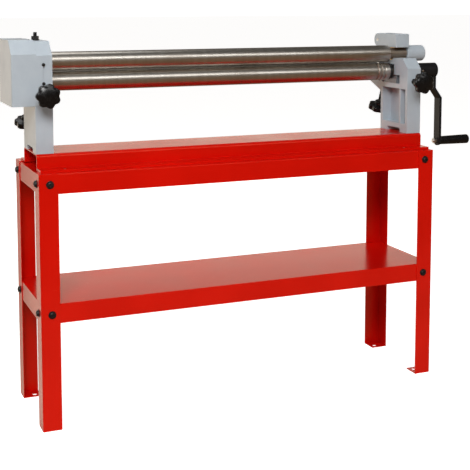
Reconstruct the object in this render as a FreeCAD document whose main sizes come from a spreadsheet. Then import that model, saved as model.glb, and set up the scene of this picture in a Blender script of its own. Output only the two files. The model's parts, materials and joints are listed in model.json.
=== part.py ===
import FreeCAD, Part

import math
import os

import Sketcher
from FreeCAD import Placement, Rotation, Vector

# Slip roll machine on a sheet-metal stand. Millimetres, +Z up, +X along the rolls towards the crank,
# +Y to the rear. The origin is at floor level, in the middle of the four foot bolt holes.

doc = FreeCAD.newDocument("slip_roll")

# ---------------------------------------------------------------------------------------------------
# Driving dimensions: alias, value, what it sets
# ---------------------------------------------------------------------------------------------------

SIZES = [
    ("stand_depth", 296, "outside depth of the stand"),
    ("stand_height", 657, "floor to the top of the rails"),
    ("leg_flange", 49, "width of each leg flange"),
    ("sheet", 2, "sheet thickness of the stand"),
    ("fold_radius", 3, "outside radius of a fold"),
    ("rail_height", 51, "depth of a top rail's web"),
    ("rail_flange", 49, "width of a top rail's flange"),
    ("shelf_top_z", 327, "floor to the shelf's upper face"),
    ("shelf_fold", 50, "depth of the shelf's folded edge"),
    ("foot_size", 46, "side of a square foot plate"),
    ("foot_thickness", 2.5, "thickness of a foot plate"),
    ("foot_hole_d", 13, "bolt hole in a foot plate"),
    ("foot_hole_inset", 33, "foot hole from the two outer faces of its leg"),
    ("stand_bolt_d", 8, "shank of a stand bolt"),
    ("stand_bolt_head_d", 15, "head of a stand bolt"),
    ("stand_bolt_head", 5, "height of a stand bolt's head"),
    ("stand_washer_d", 20, "washer under a stand bolt's head"),
    ("stand_washer", 2, "thickness of that washer"),
    ("stand_nut_d", 14, "corner circle of a stand nut"),
    ("stand_nut", 6, "height of a stand nut"),
    ("bolt_inset", 28, "stand bolt from the leg's corner"),
    ("bolt_drop", 26, "stand bolt below the top of its rail or shelf"),
    ("head_offset", 5, "machine's middle to the right of the stand's middle"),
    ("bed_width", 160, "width of the bed's raised part"),
    ("bed_height", 41, "height of the bed above the rails"),
    ("bed_sheet", 3, "sheet thickness of the bed"),
    ("bed_flange", 6, "thickness of the bed's flanges, which are folded double"),
    ("bed_fold", 9, "outside radius of the bed's two top folds"),
    ("bed_margin", 25, "stand's front or rear face to the edge of the bed's flange"),
    ("bed_bolt_d", 8, "bolt that holds the bed down"),
    ("bed_bolt_inset", 75, "bed bolt from the end of the stand"),
    ("housing_gap", 1040, "between the inner faces of the two housings"),
    ("housing_thickness", 45, "thickness of a housing along the rolls"),
    ("column_depth", 150, "depth of a housing's column"),
    ("column_height", 114, "bed's top to where the rear bulge leaves the column"),
    ("bulge_rear", 142, "rear face of the bulge behind the stand's middle"),
    ("notch_width", 72, "arch notch between a housing's two feet"),
    ("notch_height", 12, "height of that notch"),
    ("housing_bolt_d", 10, "bolt that holds a foot of a housing"),
    ("housing_bolt_head", 7, "height of its head"),
    ("housing_bolt_head_d", 19, "corner circle of its head, and its washer"),
    ("housing_bolt_y", 56, "those bolts in front of and behind the middle"),
    ("housing_bolt_depth", 22, "how far such a bolt reaches into the casting"),
    ("left_head", 55.5, "top of the left housing above the upper roll's axis"),
    ("left_chamfer", 35, "front top chamfer of the left housing"),
    ("left_top_rear", 60, "rear end of the left housing's flat top"),
    ("left_top_fall", 50, "fall of its top from there to the bulge's rear face"),
    ("right_chamfer", 28, "front top chamfer of the right housing"),
    ("seat_drop", 12, "flat in front of the right journal's seat, below the journal's axis"),
    ("upright_wall", 2, "wall between the seat and the front face of the upright behind it"),
    ("right_top_fall", 26, "fall of the right housing's top behind the keeper"),
    ("recess_front", 64, "recess in a column, half its width"),
    ("recess_bottom", 26, "bed's top to the bottom of that recess"),
    ("recess_height", 102, "height of that recess"),
    ("recess_depth", 30, "depth of that recess"),
    ("rib_y", -34, "place of the rib in that recess"),
    ("rib_width", 8, "thickness of that rib"),
    ("slot_depth", 36, "depth of the bearing slots from the inner face"),
    ("roll_y", 20, "axis of the two front rolls behind the middle"),
    ("upper_axis_height", 229, "bed's top to the axis of the upper roll"),
    ("roll_diameter", 50, "diameter of every roll"),
    ("nip_gap", 2.5, "gap between the two front rolls at rest"),
    ("shaft_opening", 1.5, "room round the lower shaft in a housing's outer web"),
    ("roll_end_gap", 14, "between a roll's face end and a housing"),
    ("shaft_d", 24, "upper and lower shaft under their gears, and under the end cap"),
    ("upper_journal_d", 32, "journals of the upper roll"),
    ("lower_journal_d", 25, "journals of the lower roll"),
    ("rear_journal_d", 20, "journals of the rear roll"),
    ("rear_journal", 17, "length of a rear roll's journal inside its block"),
    ("bush_d", 40, "outside of the left bush"),
    ("seat_bush_d", 38, "outside of the right half bush"),
    ("running_clearance", 0.05, "radial clearance of a running fit"),
    ("press_clearance", 0.02, "gap that keeps pressed pieces apart in the model"),
    ("sliding_clearance", 0.3, "clearance of a sliding block"),
    ("collar", 8, "length of a thrust collar on the lower roll"),
    ("collar_d", 48, "outside of that collar"),
    ("block_width", 40, "width of the slot of a lower bearing block"),
    ("block_above", 18, "lower bearing block above its axis"),
    ("nip_close", 2.2, "travel of the lower roll upwards"),
    ("nip_open", 3, "travel of the lower roll downwards"),
    ("wedge_slope", 0.2, "rise of a wedge per length"),
    ("wedge_drop", 16.5, "lower roll's axis to the top of a wedge under it"),
    ("wedge_floor_drop", 34.5, "lower roll's axis to the floor of a wedge"),
    ("wedge_play", 1, "room round a wedge at the ends of its travel"),
    ("front_screw_d", 10, "front adjusting screw"),
    ("front_screw_drop", 25.5, "lower roll's axis to the front adjusting screws"),
    ("front_knob_reach", 139, "outer end of a front knob before the middle"),
    ("rear_axis_y", 87, "rear roll's axis behind the middle, at rest, level with the lower roll"),
    ("rear_tilt", 22, "degrees that the rear screws lean forward"),
    ("rear_block", 36, "side of a rear bearing block"),
    ("rear_up", 36, "travel of the rear roll upwards"),
    ("rear_down", 6, "travel of the rear roll downwards"),
    ("rear_screw_d", 12, "rear adjusting screw"),
    ("rear_screw_inset", 27, "rear screw outwards of a housing's inner face"),
    ("rear_knob_drop", 142, "outer end of a rear knob below the rear roll's axis"),
    ("screw_collar_d", 18, "thrust collar of an adjusting screw"),
    ("screw_collar", 5, "length of that collar"),
    ("screw_ring", 2.5, "length of the ring inside the housing"),
    ("screw_ring_height", 3, "height of that ring over the screw"),
    ("knob_d", 63, "star knob across its lobes"),
    ("knob_height", 22, "star knob's lobed head"),
    ("knob_hub_d", 27, "star knob's hub"),
    ("knob_hub", 12, "length of that hub"),
    ("knob_chamfer", 4, "chamfer of the lobed head"),
    ("knob_notch", 8, "radius of the hollows between the lobes"),
    ("knob_lobes", 7, "lobes of a star knob"),
    ("keeper_front", -9, "front face of the keeper"),
    ("keeper_height", 40, "height of the keeper"),
    ("keeper_pivot_y", 100, "keeper's pivot behind the middle"),
    ("keeper_tongue", 16, "thickness of the tongue between the keeper's cheeks"),
    ("keeper_pin_d", 10, "keeper's pivot pin"),
    ("keeper_pad_width", 24, "pad between the keeper and the journal"),
    ("keeper_pad", 2.2, "thickness of that pad"),
    ("keeper_pad_inset", 5, "pad inside the housing's two faces"),
    ("keeper_slot_room", 1, "between the keeper's slot and the tongue's round end"),
    ("gear_teeth", 12, "teeth of each gear"),
    ("gear_width", 20, "face width of a gear"),
    ("gear_backlash", 0.5, "thinning of a gear tooth"),
    ("key_width", 8, "side of a gear key"),
    ("gear_washer", 3, "thickness of the washer at a gear's end"),
    ("gear_washer_d", 34, "that washer's diameter"),
    ("gear_screw_d", 10, "screw that holds a gear"),
    ("gear_screw_depth", 18, "how far that screw reaches into the shaft"),
    ("gear_screw_head", 6, "height of its head"),
    ("gear_screw_head_d", 19, "corner circle of its head"),
    ("gear_gap", 8, "between the left housing and the gears"),
    ("cover_left", 59, "gear cover outwards of the left housing"),
    ("cover_wall", 3, "wall of the gear cover"),
    ("cover_drop", 54.5, "lower roll's axis to the underside of the gear cover"),
    ("cover_rise", 3.5, "top of the gear cover above the left housing"),
    ("cover_depth", 168, "gear cover from front to rear"),
    ("cover_overlap", 4, "how far the gear cover's top reaches over the housing"),
    ("cover_lip", 21, "lip of the gear cover over the housing's front"),
    ("cover_screw_d", 5, "screw that holds that lip under its head"),
    ("cover_screw_out", 1, "centre of that screw outside the lip's edge"),
    ("cover_screw_shift", 2.2, "that screw above the lower shaft or below the upper one"),
    ("cover_screw_depth", 14, "how far it reaches into the housing"),
    ("cover_screw_head", 2.5, "height of its head"),
    ("cover_screw_head_d", 8.5, "diameter of its head"),
    ("set_screw_d", 10, "set screw on top of the left housing"),
    ("set_screw_stick_out", 21, "set screw above the housing"),
    ("set_nut_d", 20, "corner circle of its locknut"),
    ("set_nut", 9, "height of its locknut"),
    ("set_washer_d", 24, "washer under the locknut"),
    ("set_washer", 2, "thickness of that washer"),
    ("cap_d", 47, "end cap of the upper roll"),
    ("cap_length", 61, "length of that cap"),
    ("cap_floor", 11, "closed end of that cap"),
    ("cap_chamfer", 3, "chamfer at its outer end"),
    ("hub_d", 44, "crank hub"),
    ("hub_length", 106, "length of the crank hub"),
    ("hub_bore_d", 22, "bore of the crank hub"),
    ("hub_pin_d", 6, "pin through the crank hub"),
    ("hub_floor", 11, "closed end of the crank hub"),
    ("outer_gap", 1.5, "between a housing's outer face and what turns beside it"),
    ("crank_radius", 217, "lower roll's axis to the grip's axis"),
    ("arm_width", 30, "width of the crank arm"),
    ("arm_thickness", 8, "thickness of the crank arm"),
    ("arm_inset", 2, "crank arm inside the hub's end"),
    ("arm_jog", 22, "sideways step of the crank arm"),
    ("jog_top", 54, "start of that step below the lower roll's axis"),
    ("jog_bottom", 84, "end of that step below the lower roll's axis"),
    ("grip_length", 104, "length of the grip"),
    ("grip_inner_d", 25, "grip at the arm"),
    ("grip_outer_d", 28, "grip at its far end"),
    ("spindle_d", 10, "spindle of the grip"),
    ("spindle_head_d", 17, "head of the spindle"),
    ("spindle_head", 5, "height of that head"),
    ("spindle_end", 3, "spindle past its nut"),
    ("grip_play", 0.3, "between the grip and its spindle"),
    ("grip_recess", 8, "depth of the recess round the spindle's head"),
    ("grip_round", 4, "rounding at the grip's far end"),
    ("grip_nut_d", 17, "corner circle of the grip nut"),
    ("grip_nut", 11, "height of the grip nut"),
    ("groove_pitch", 12, "spacing of the wire grooves"),
    ("groove_first", 16, "first wire groove from the right end of a roll"),
    ("groove_radius", 2, "smallest wire groove"),
]

sheet_object = doc.addObject("Spreadsheet::Sheet", "sizes")
for row, (alias, value, meaning) in enumerate(SIZES, start=1):
    sheet_object.set(f"A{row}", alias)
    sheet_object.set(f"B{row}", str(value))
    sheet_object.set(f"C{row}", meaning)
    sheet_object.setAlias(f"B{row}", alias)
doc.recompute()


class Size:
    """A length that knows its value and the sheet expression that it comes from."""

    def __init__(self, value, text=None):
        self.value = float(value)
        self.text = text if text is not None else f"({self.value:.9g})"

    @staticmethod
    def of(other):
        return other if isinstance(other, Size) else Size(other)

    def _joined(self, other, value, sign):
        return Size(value, f"({self.text} {sign} {Size.of(other).text})")

    def __add__(self, other):
        return self._joined(other, self.value + Size.of(other).value, "+")

    def __sub__(self, other):
        return self._joined(other, self.value - Size.of(other).value, "-")

    def __mul__(self, other):
        return self._joined(other, self.value * Size.of(other).value, "*")

    def __truediv__(self, other):
        return self._joined(other, self.value / Size.of(other).value, "/")

    def __radd__(self, other):
        return Size.of(other) + self

    def __rsub__(self, other):
        return Size.of(other) - self

    def __rmul__(self, other):
        return Size.of(other) * self

    def __neg__(self):
        return Size.of(-1) * self

    def __float__(self):
        return self.value


class Sheet:
    """The driving dimensions as attributes: size.stand_length and so on."""

    def __getattr__(self, alias):
        return Size(float(sheet_object.get(alias)), f"sizes.{alias}")


size = Sheet()


def sine(angle):
    return Size(math.sin(math.radians(angle.value)), f"sin({angle.text})")


def cosine(angle):
    return Size(math.cos(math.radians(angle.value)), f"cos({angle.text})")


def bind(item, path, amount):
    """Tie one property of an object to the sheet."""
    item.setExpression(path, Size.of(amount).text)


# ---------------------------------------------------------------------------------------------------
# Building blocks
# ---------------------------------------------------------------------------------------------------

# How far a cutting tool runs past the faces that it cuts.
PAST = 1

# An edge runs along an axis, or passes through a point, within these amounts.
SAME_DIRECTION = 1e-6
SAME_PLACE = 0.01

NODES = {}

PLANES = {"XY": ("XY_Plane", 1), "XZ": ("XZ_Plane", -1), "YZ": ("YZ_Plane", 1)}


def keep(node, item):
    """Register an object as the node that carries this name."""
    item.Label = node
    NODES[node] = item
    return item


def new_body(name):
    return doc.addObject("PartDesign::Body", name + "_body")


def new_sketch(body, plane, offset=0):
    """A sketch on one of the body's own origin planes, moved along the plane's positive axis."""
    role, direction = PLANES[plane]
    sketch = body.newObject("Sketcher::SketchObject", body.Name + "_sketch")
    origin_plane = next(f for f in body.Origin.OriginFeatures if f.Role == role)
    sketch.AttachmentSupport = [(origin_plane, "")]
    sketch.MapMode = "FlatFace"
    bind(sketch, "AttachmentOffset.Base.z", direction * Size.of(offset))
    return sketch


def fix_point(sketch, geometry, position, point):
    """Pin a sketch point to its two coordinates, both tied to the sheet."""
    for kind, amount in zip(("DistanceX", "DistanceY"), point):
        amount = Size.of(amount)
        index = sketch.addConstraint(Sketcher.Constraint(kind, geometry, position, amount.value))
        sketch.setExpression(f"Constraints[{index}]", amount.text)


def draw_outline(sketch, points):
    """A closed outline of straight lines through the given corners."""
    places = [Vector(float(x), float(y), 0) for x, y in points]
    first = sketch.GeometryCount
    count = len(places)
    for number in range(count):
        sketch.addGeometry(Part.LineSegment(places[number], places[(number + 1) % count]), False)
    for number in range(count):
        following = first + (number + 1) % count
        sketch.addConstraint(Sketcher.Constraint("Coincident", first + number, 2, following, 1))
        fix_point(sketch, first + number, 1, points[number])


def draw_circle(sketch, centre, radius):
    radius = Size.of(radius)
    middle = Vector(float(centre[0]), float(centre[1]), 0)
    number = sketch.addGeometry(Part.Circle(middle, Vector(0, 0, 1), radius.value), False)
    index = sketch.addConstraint(Sketcher.Constraint("Radius", number, radius.value))
    sketch.setExpression(f"Constraints[{index}]", radius.text)
    fix_point(sketch, number, 3, centre)


def draw_box(sketch, low, high):
    draw_outline(sketch, [low, (high[0], low[1]), high, (low[0], high[1])])


def solid_feature(body, kind, plane, start, end, draw):
    """Pad or Pocket between two stations along the plane's axis, checked for its effect."""
    start, end = Size.of(start), Size.of(end)
    before = body.Shape.Volume if body.Tip else 0.0
    sketch = new_sketch(body, plane, start)
    draw(sketch)
    feature = body.newObject(f"PartDesign::{kind}", f"{body.Name}_{kind}")
    feature.Profile = sketch
    bind(feature, "Length", end - start)
    towards_axis = (plane != "XZ") == (kind == "Pad")
    feature.Reversed = not towards_axis
    doc.recompute()
    change = body.Shape.Volume - before
    if (change <= 0) if kind == "Pad" else (change >= 0):
        raise RuntimeError(f"{feature.Name} changed the volume by {change}")
    return feature


def pad(body, plane, start, end, draw):
    return solid_feature(body, "Pad", plane, start, end, draw)


def pocket(body, plane, start, end, draw):
    return solid_feature(body, "Pocket", plane, start, end, draw)


def runs_along(edge, axis):
    """True for a straight edge that runs along the axis."""
    if not isinstance(edge.Curve, Part.Line):
        return False
    return edge.tangentAt(edge.FirstParameter).cross(axis).Length < SAME_DIRECTION


def round_edges(body, axis, corners, radius):
    """Fillet the edges along the axis that pass through the given corners."""
    base = body.Tip
    names = []
    for number, edge in enumerate(base.Shape.Edges, start=1):
        if not runs_along(edge, axis):
            continue
        middle = edge.CenterOfMass
        for corner in corners:
            gap = Vector(*[float(c) for c in corner]) - middle
            across = gap - axis * gap.dot(axis)
            if across.Length < SAME_PLACE:
                names.append(f"Edge{number}")
                break
    if not names:
        raise RuntimeError(f"{body.Name} has no edge to round")
    fillet = body.newObject("PartDesign::Fillet", body.Name + "_fillet")
    fillet.Base = (base, names)
    bind(fillet, "Radius", radius)
    doc.recompute()
    return fillet


def turned(name, profile, centre=(0, 0, 0)):
    """A piece turned about its own X axis. The profile lists (x, radius) round the section."""
    body = new_body(name)
    sketch = new_sketch(body, "XY")
    draw_outline(sketch, profile)
    revolution = body.newObject("PartDesign::Revolution", name + "_turn")
    revolution.Profile = sketch
    revolution.ReferenceAxis = (sketch, ["H_Axis"])
    revolution.Angle = 360
    place(body, centre)
    doc.recompute()
    return body


def shaft_profile(stations):
    """The section of a solid shaft: (x, radius) stations from left to right, closed on the axis."""
    return [(stations[0][0], 0)] + stations + [(stations[-1][0], 0)]


def tube_profile(left, right, inner, outer):
    return [(left, inner), (left, outer), (right, outer), (right, inner)]


def place(item, centre):
    for letter, amount in zip("xyz", centre):
        bind(item, f"Placement.Base.{letter}", amount)


TURN_TO = {
    "X": Rotation(Vector(0, 1, 0), 90),
    "Y": Rotation(Vector(1, 0, 0), -90),
    "Z": Rotation(),
}


def rod(name, axis, start, length, radius):
    """A Part::Cylinder along +X, +Y or +Z from its start point."""
    item = doc.addObject("Part::Cylinder", name)
    item.Placement = Placement(Vector(), TURN_TO[axis])
    bind(item, "Radius", radius)
    bind(item, "Height", length)
    place(item, start)
    return item


def hexagon(name, axis, start, length, radius):
    """A Part::Prism with six sides along +X, +Y or +Z from its start point."""
    item = doc.addObject("Part::Prism", name)
    item.Polygon = 6
    item.Placement = Placement(Vector(), TURN_TO[axis])
    bind(item, "Circumradius", radius)
    bind(item, "Height", length)
    place(item, start)
    return item


def block(name, low, high):
    """A Part::Box between two corners."""
    item = doc.addObject("Part::Box", name)
    for letter, side, small, large in zip("xyz", ("Length", "Width", "Height"), low, high):
        bind(item, side, Size.of(large) - small)
        bind(item, f"Placement.Base.{letter}", small)
    return item


def fused(name, items):
    item = doc.addObject("Part::MultiFuse", name)
    item.Shapes = items
    return item


def cut(name, base, tool):
    item = doc.addObject("Part::Cut", name)
    item.Base = base
    item.Tool = tool
    return item


def grouped(name, items):
    """Identical fasteners that share one node."""
    item = doc.addObject("Part::Compound", name)
    item.Links = items
    return item


# ---------------------------------------------------------------------------------------------------
# Stations that several pieces share
# ---------------------------------------------------------------------------------------------------

X_AXIS = Vector(1, 0, 0)
Y_AXIS = Vector(0, 1, 0)
Z_AXIS = Vector(0, 0, 1)

bed_top_z = size.stand_height + size.bed_height
upper_axis_z = bed_top_z + size.upper_axis_height
lower_axis_z = upper_axis_z - size.roll_diameter - size.nip_gap
rear_axis_z = lower_axis_z
front_screw_z = lower_axis_z - size.front_screw_drop
column_rear_z = bed_top_z + size.column_height
left_top_z = upper_axis_z + size.left_head
seat_flat_z = upper_axis_z - size.seat_drop
keeper_bottom_z = upper_axis_z + size.upper_journal_d / 2 + size.sliding_clearance + size.keeper_pad
column_half = size.column_depth / 2

# Per side: -1 is the left end of the machine, +1 the right end.
inner_face = {side: size.head_offset + side * (size.housing_gap / 2) for side in (-1, 1)}
outer_face = {side: inner_face[side] + side * size.housing_thickness for side in (-1, 1)}
housing_middle = {side: inner_face[side] + side * (size.housing_thickness / 2) for side in (-1, 1)}
roll_end = {side: inner_face[side] - side * size.roll_end_gap for side in (-1, 1)}
SIDE_NAME = {-1: "left", 1: "right"}

# The bed is as long as the machine, and its right end is flush with the stand's.
half_length = size.housing_gap / 2 + size.housing_thickness + size.head_offset
half_depth = size.stand_depth / 2
bed_edge_y = half_depth - size.bed_margin

# A bed bolt stands in the middle of the strip where the bed's flange lies on a long rail's flange.
rail_edge_y = half_depth - size.sheet - size.rail_flange
bed_bolt_y = (rail_edge_y + bed_edge_y) / 2
bed_bolt_x = {side: side * (half_length - size.bed_bolt_inset) for side in (-1, 1)}

tilt_sine = sine(size.rear_tilt)
tilt_cosine = cosine(size.rear_tilt)


def along_rear_screw(distance, across=0):
    """(y, z) of a point on the rear screw's line: distance up the line, then across it rearwards."""
    distance, across = Size.of(distance), Size.of(across)
    y = size.rear_axis_y - distance * tilt_sine + across * tilt_cosine
    z = rear_axis_z + distance * tilt_cosine + across * tilt_sine
    return y, z


# The bulge's underside is square to the rear screw and starts at the column's rear face.
slope = tilt_sine / tilt_cosine
bulge_rear_z = column_rear_z + (size.bulge_rear - column_half) * slope
bulge_drop = ((rear_axis_z - column_rear_z) * tilt_cosine
              - (size.rear_axis_y - column_half) * tilt_sine)


# ---------------------------------------------------------------------------------------------------
# Stand
# ---------------------------------------------------------------------------------------------------

CORNERS = [("front_left", -1, -1), ("front_right", 1, -1), ("rear_left", -1, 1), ("rear_right", 1, 1)]


def leg(name, side, row):
    """A folded angle with both flanges on the outside of the stand."""
    corner = (side * half_length, row * half_depth)
    body = new_body(name)
    outline = [
        corner,
        (corner[0] - side * size.leg_flange, corner[1]),
        (corner[0] - side * size.leg_flange, corner[1] - row * size.sheet),
        (corner[0] - side * size.sheet, corner[1] - row * size.sheet),
        (corner[0] - side * size.sheet, corner[1] - row * size.leg_flange),
        (corner[0], corner[1] - row * size.leg_flange),
    ]
    pad(body, "XY", 0, size.stand_height, lambda sketch: draw_outline(sketch, outline))
    round_edges(body, Z_AXIS, [(corner[0], corner[1], 0)], size.fold_radius)
    for top in (size.stand_height, size.shelf_top_z):
        height = top - size.bolt_drop
        front = (corner[0] - side * size.bolt_inset, height)
        flank = (corner[1] - row * size.bolt_inset, height)
        depth = sorted((corner[1], corner[1] - row * size.sheet), key=float)
        width = sorted((corner[0], corner[0] - side * size.sheet), key=float)
        radius = size.stand_bolt_d / 2 + size.running_clearance
        pocket(body, "XZ", depth[0], depth[1], lambda sketch: draw_circle(sketch, front, radius))
        pocket(body, "YZ", width[0], width[1], lambda sketch: draw_circle(sketch, flank, radius))
    return keep(name + "_leg", body)


def foot_plates():
    """Square drilled plates inside the bottom of each leg."""
    plates = []
    for name, side, row in CORNERS:
        near = (side * (half_length - size.sheet), row * (half_depth - size.sheet))
        far = (near[0] - side * size.foot_size, near[1] - row * size.foot_size)
        xs = sorted((near[0], far[0]), key=float)
        ys = sorted((near[1], far[1]), key=float)
        plate = block(name + "_plate", (xs[0], ys[0], 0), (xs[1], ys[1], size.foot_thickness))
        centre = (side * (half_length - size.foot_hole_inset), row * (half_depth - size.foot_hole_inset))
        hole = rod(name + "_hole", "Z", (centre[0], centre[1], -PAST), size.foot_thickness + 2 * PAST,
                   size.foot_hole_d / 2)
        plates.append(cut(name + "_foot", plate, hole))
    keep("foot_plates", grouped("foot_plates_group", plates))


def long_rail(name, row, reach, bolts):
    """A front or rear top rail: a web just inside the legs and a flange that points inwards."""
    top = size.stand_height
    face = row * (half_depth - size.sheet)
    inner = face - row * size.sheet
    outline = [
        (face, top),
        (face - row * size.rail_flange, top),
        (face - row * size.rail_flange, top - size.sheet),
        (inner, top - size.sheet),
        (inner, top - size.rail_height),
        (face, top - size.rail_height),
    ]
    body = new_body(name)
    pad(body, "YZ", -reach, reach, lambda sketch: draw_outline(sketch, outline))
    round_edges(body, X_AXIS, [(0, face, top)], size.fold_radius)
    stations = sorted((face, inner), key=float)
    radius = size.stand_bolt_d / 2 + size.running_clearance
    for bolt_x in bolts:
        centre = (bolt_x, top - size.bolt_drop)
        pocket(body, "XZ", stations[0], stations[1], lambda sketch: draw_circle(sketch, centre, radius))
    radius = size.bed_bolt_d / 2 + size.running_clearance
    for side in (-1, 1):
        centre = (bed_bolt_x[side], row * bed_bolt_y)
        pocket(body, "XY", top - size.sheet, top, lambda sketch: draw_circle(sketch, centre, radius))
    return body


def top_rails():
    inside_x = half_length - size.sheet
    inside_y = half_depth - size.sheet
    for name, row in (("front", -1), ("rear", 1)):
        bolts = [side * (half_length - size.bolt_inset) for side in (-1, 1)]
        rail = long_rail(name + "_top_rail", row, inside_x, bolts)
        keep(name + "_top_rail", rail)
    # The side rails fit between the webs of the long ones, under their flanges.
    for name, side in (("left", -1), ("right", 1)):
        reach = inside_y - size.sheet
        bolts = [row * (half_depth - size.bolt_inset) for row in (-1, 1)]
        rail = side_rail(name + "_top_rail", side, -reach, reach, bolts)
        keep(name + "_top_rail", rail)


def side_rail(name, side, start, end, bolts):
    """An end rail: web inside the legs, flange inwards just below the long rails' flanges."""
    face = side * (half_length - size.sheet)
    inner = face - side * size.sheet
    top = size.stand_height - size.sheet
    outline = [
        (face, top),
        (face - side * size.rail_flange, top),
        (face - side * size.rail_flange, top - size.sheet),
        (inner, top - size.sheet),
        (inner, size.stand_height - size.rail_height),
        (face, size.stand_height - size.rail_height),
    ]
    body = new_body(name)
    pad(body, "XZ", start, end, lambda sketch: draw_outline(sketch, outline))
    radius = size.stand_bolt_d / 2 + size.running_clearance
    stations = sorted((face, inner), key=float)
    for place_of_bolt in bolts:
        centre = (place_of_bolt, size.stand_height - size.bolt_drop)
        pocket(body, "YZ", stations[0], stations[1], lambda sketch: draw_circle(sketch, centre, radius))
    return body


def shelf():
    """A tray with its four edges folded down, notched at the corners for the legs' flanges."""
    inside_x = half_length - size.sheet
    inside_y = half_depth - size.sheet
    bottom = size.shelf_top_z - size.shelf_fold
    body = new_body("shelf")
    pad(body, "XY", bottom, size.shelf_top_z,
        lambda sketch: draw_box(sketch, (-inside_x, -inside_y), (inside_x, inside_y)))
    hollow_x = inside_x - size.sheet
    hollow_y = inside_y - size.sheet
    pocket(body, "XY", bottom, size.shelf_top_z - size.sheet,
           lambda sketch: draw_box(sketch, (-hollow_x, -hollow_y), (hollow_x, hollow_y)))
    round_edges(body, X_AXIS, [(0, row * inside_y, size.shelf_top_z) for row in (-1, 1)], size.sheet)
    height = size.shelf_top_z - size.bolt_drop
    radius = size.stand_bolt_d / 2 + size.running_clearance
    for side in (-1, 1):
        for row in (-1, 1):
            front = (side * (half_length - size.bolt_inset), height)
            flank = (row * (half_depth - size.bolt_inset), height)
            depth = sorted((row * inside_y, row * hollow_y), key=float)
            width = sorted((side * inside_x, side * hollow_x), key=float)
            pocket(body, "XZ", depth[0], depth[1], lambda sketch: draw_circle(sketch, front, radius))
            pocket(body, "YZ", width[0], width[1], lambda sketch: draw_circle(sketch, flank, radius))
    keep("shelf", body)


def outward_rod(name, axis, direction, base, low, high, radius, make=rod):
    """A rod or hexagon from low to high, counted outwards from the base point along an axis."""
    start = list(base)
    index = "XYZ".index(axis)
    near = low if direction > 0 else high
    start[index] = Size.of(base[index]) + direction * Size.of(near)
    return make(name, axis, tuple(start), Size.of(high) - low, radius)


def stand_fasteners():
    """Bolts with a washer under the head outside each leg, and nuts inside."""
    bolts = []
    nuts = []
    grip = 2 * size.sheet
    for name, side, row in CORNERS:
        for level, top in (("rail", size.stand_height), ("shelf", size.shelf_top_z)):
            height = top - size.bolt_drop
            along_y = (side * (half_length - size.bolt_inset), row * half_depth, height)
            along_x = (side * half_length, row * (half_depth - size.bolt_inset), height)
            for axis, direction, base in (("Y", row, along_y), ("X", side, along_x)):
                title = f"{name}_{level}_{axis}"
                washer = outward_rod(title + "_washer", axis, direction, base, 0, size.stand_washer,
                                     size.stand_washer_d / 2)
                head = outward_rod(title + "_head", axis, direction, base, size.stand_washer,
                                   size.stand_washer + size.stand_bolt_head, size.stand_bolt_head_d / 2,
                                   hexagon)
                shank = outward_rod(title + "_shank", axis, direction, base, -grip - size.stand_nut,
                                    size.stand_washer, size.stand_bolt_d / 2)
                bolts.append(fused(title + "_bolt", [washer, head, shank]))
                nut = outward_rod(title + "_nut", axis, direction, base, -grip - size.stand_nut, -grip,
                                  size.stand_nut_d / 2, hexagon)
                bore = outward_rod(title + "_bore", axis, direction, base, -grip - size.stand_nut - PAST,
                                   -grip + PAST, size.stand_bolt_d / 2 + size.running_clearance)
                nuts.append(cut(title + "_nut_bored", nut, bore))
    keep("stand_bolts", grouped("stand_bolts_group", bolts))
    keep("stand_nuts", grouped("stand_nuts_group", nuts))


# ---------------------------------------------------------------------------------------------------
# Bed
# ---------------------------------------------------------------------------------------------------

def bed():
    """A folded hat section with its flanges on the long rails."""
    half = size.bed_width / 2
    low = size.stand_height
    high = bed_top_z
    right_half = [
        (bed_edge_y, low),
        (bed_edge_y, low + size.bed_flange),
        (half, low + size.bed_flange),
        (half, high),
    ]
    inside = [
        (half - size.bed_sheet, high - size.bed_sheet),
        (half - size.bed_sheet, low),
    ]
    mirrored = [(-y, z) for y, z in reversed(right_half)]
    mirrored_inside = [(-y, z) for y, z in reversed(inside)]
    outline = right_half + mirrored + mirrored_inside + inside
    body = new_body("bed")
    pad(body, "YZ", outer_face[-1], outer_face[1], lambda sketch: draw_outline(sketch, outline))
    round_edges(body, X_AXIS, [(0, row * half, high) for row in (-1, 1)], size.bed_fold)
    folds = [(0, row * (half - size.bed_sheet), high - size.bed_sheet) for row in (-1, 1)]
    round_edges(body, X_AXIS, folds, size.bed_fold - size.bed_sheet)
    for side in (-1, 1):
        for row in (-1, 1):
            foot = (housing_middle[side], row * size.housing_bolt_y)
            radius = size.housing_bolt_d / 2 + size.running_clearance
            pocket(body, "XY", high - size.bed_sheet, high, lambda sketch: draw_circle(sketch, foot, radius))
            hold = (bed_bolt_x[side], row * bed_bolt_y)
            small = size.bed_bolt_d / 2 + size.running_clearance
            pocket(body, "XY", low, low + size.bed_flange, lambda sketch: draw_circle(sketch, hold, small))
    keep("bed", body)


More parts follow.
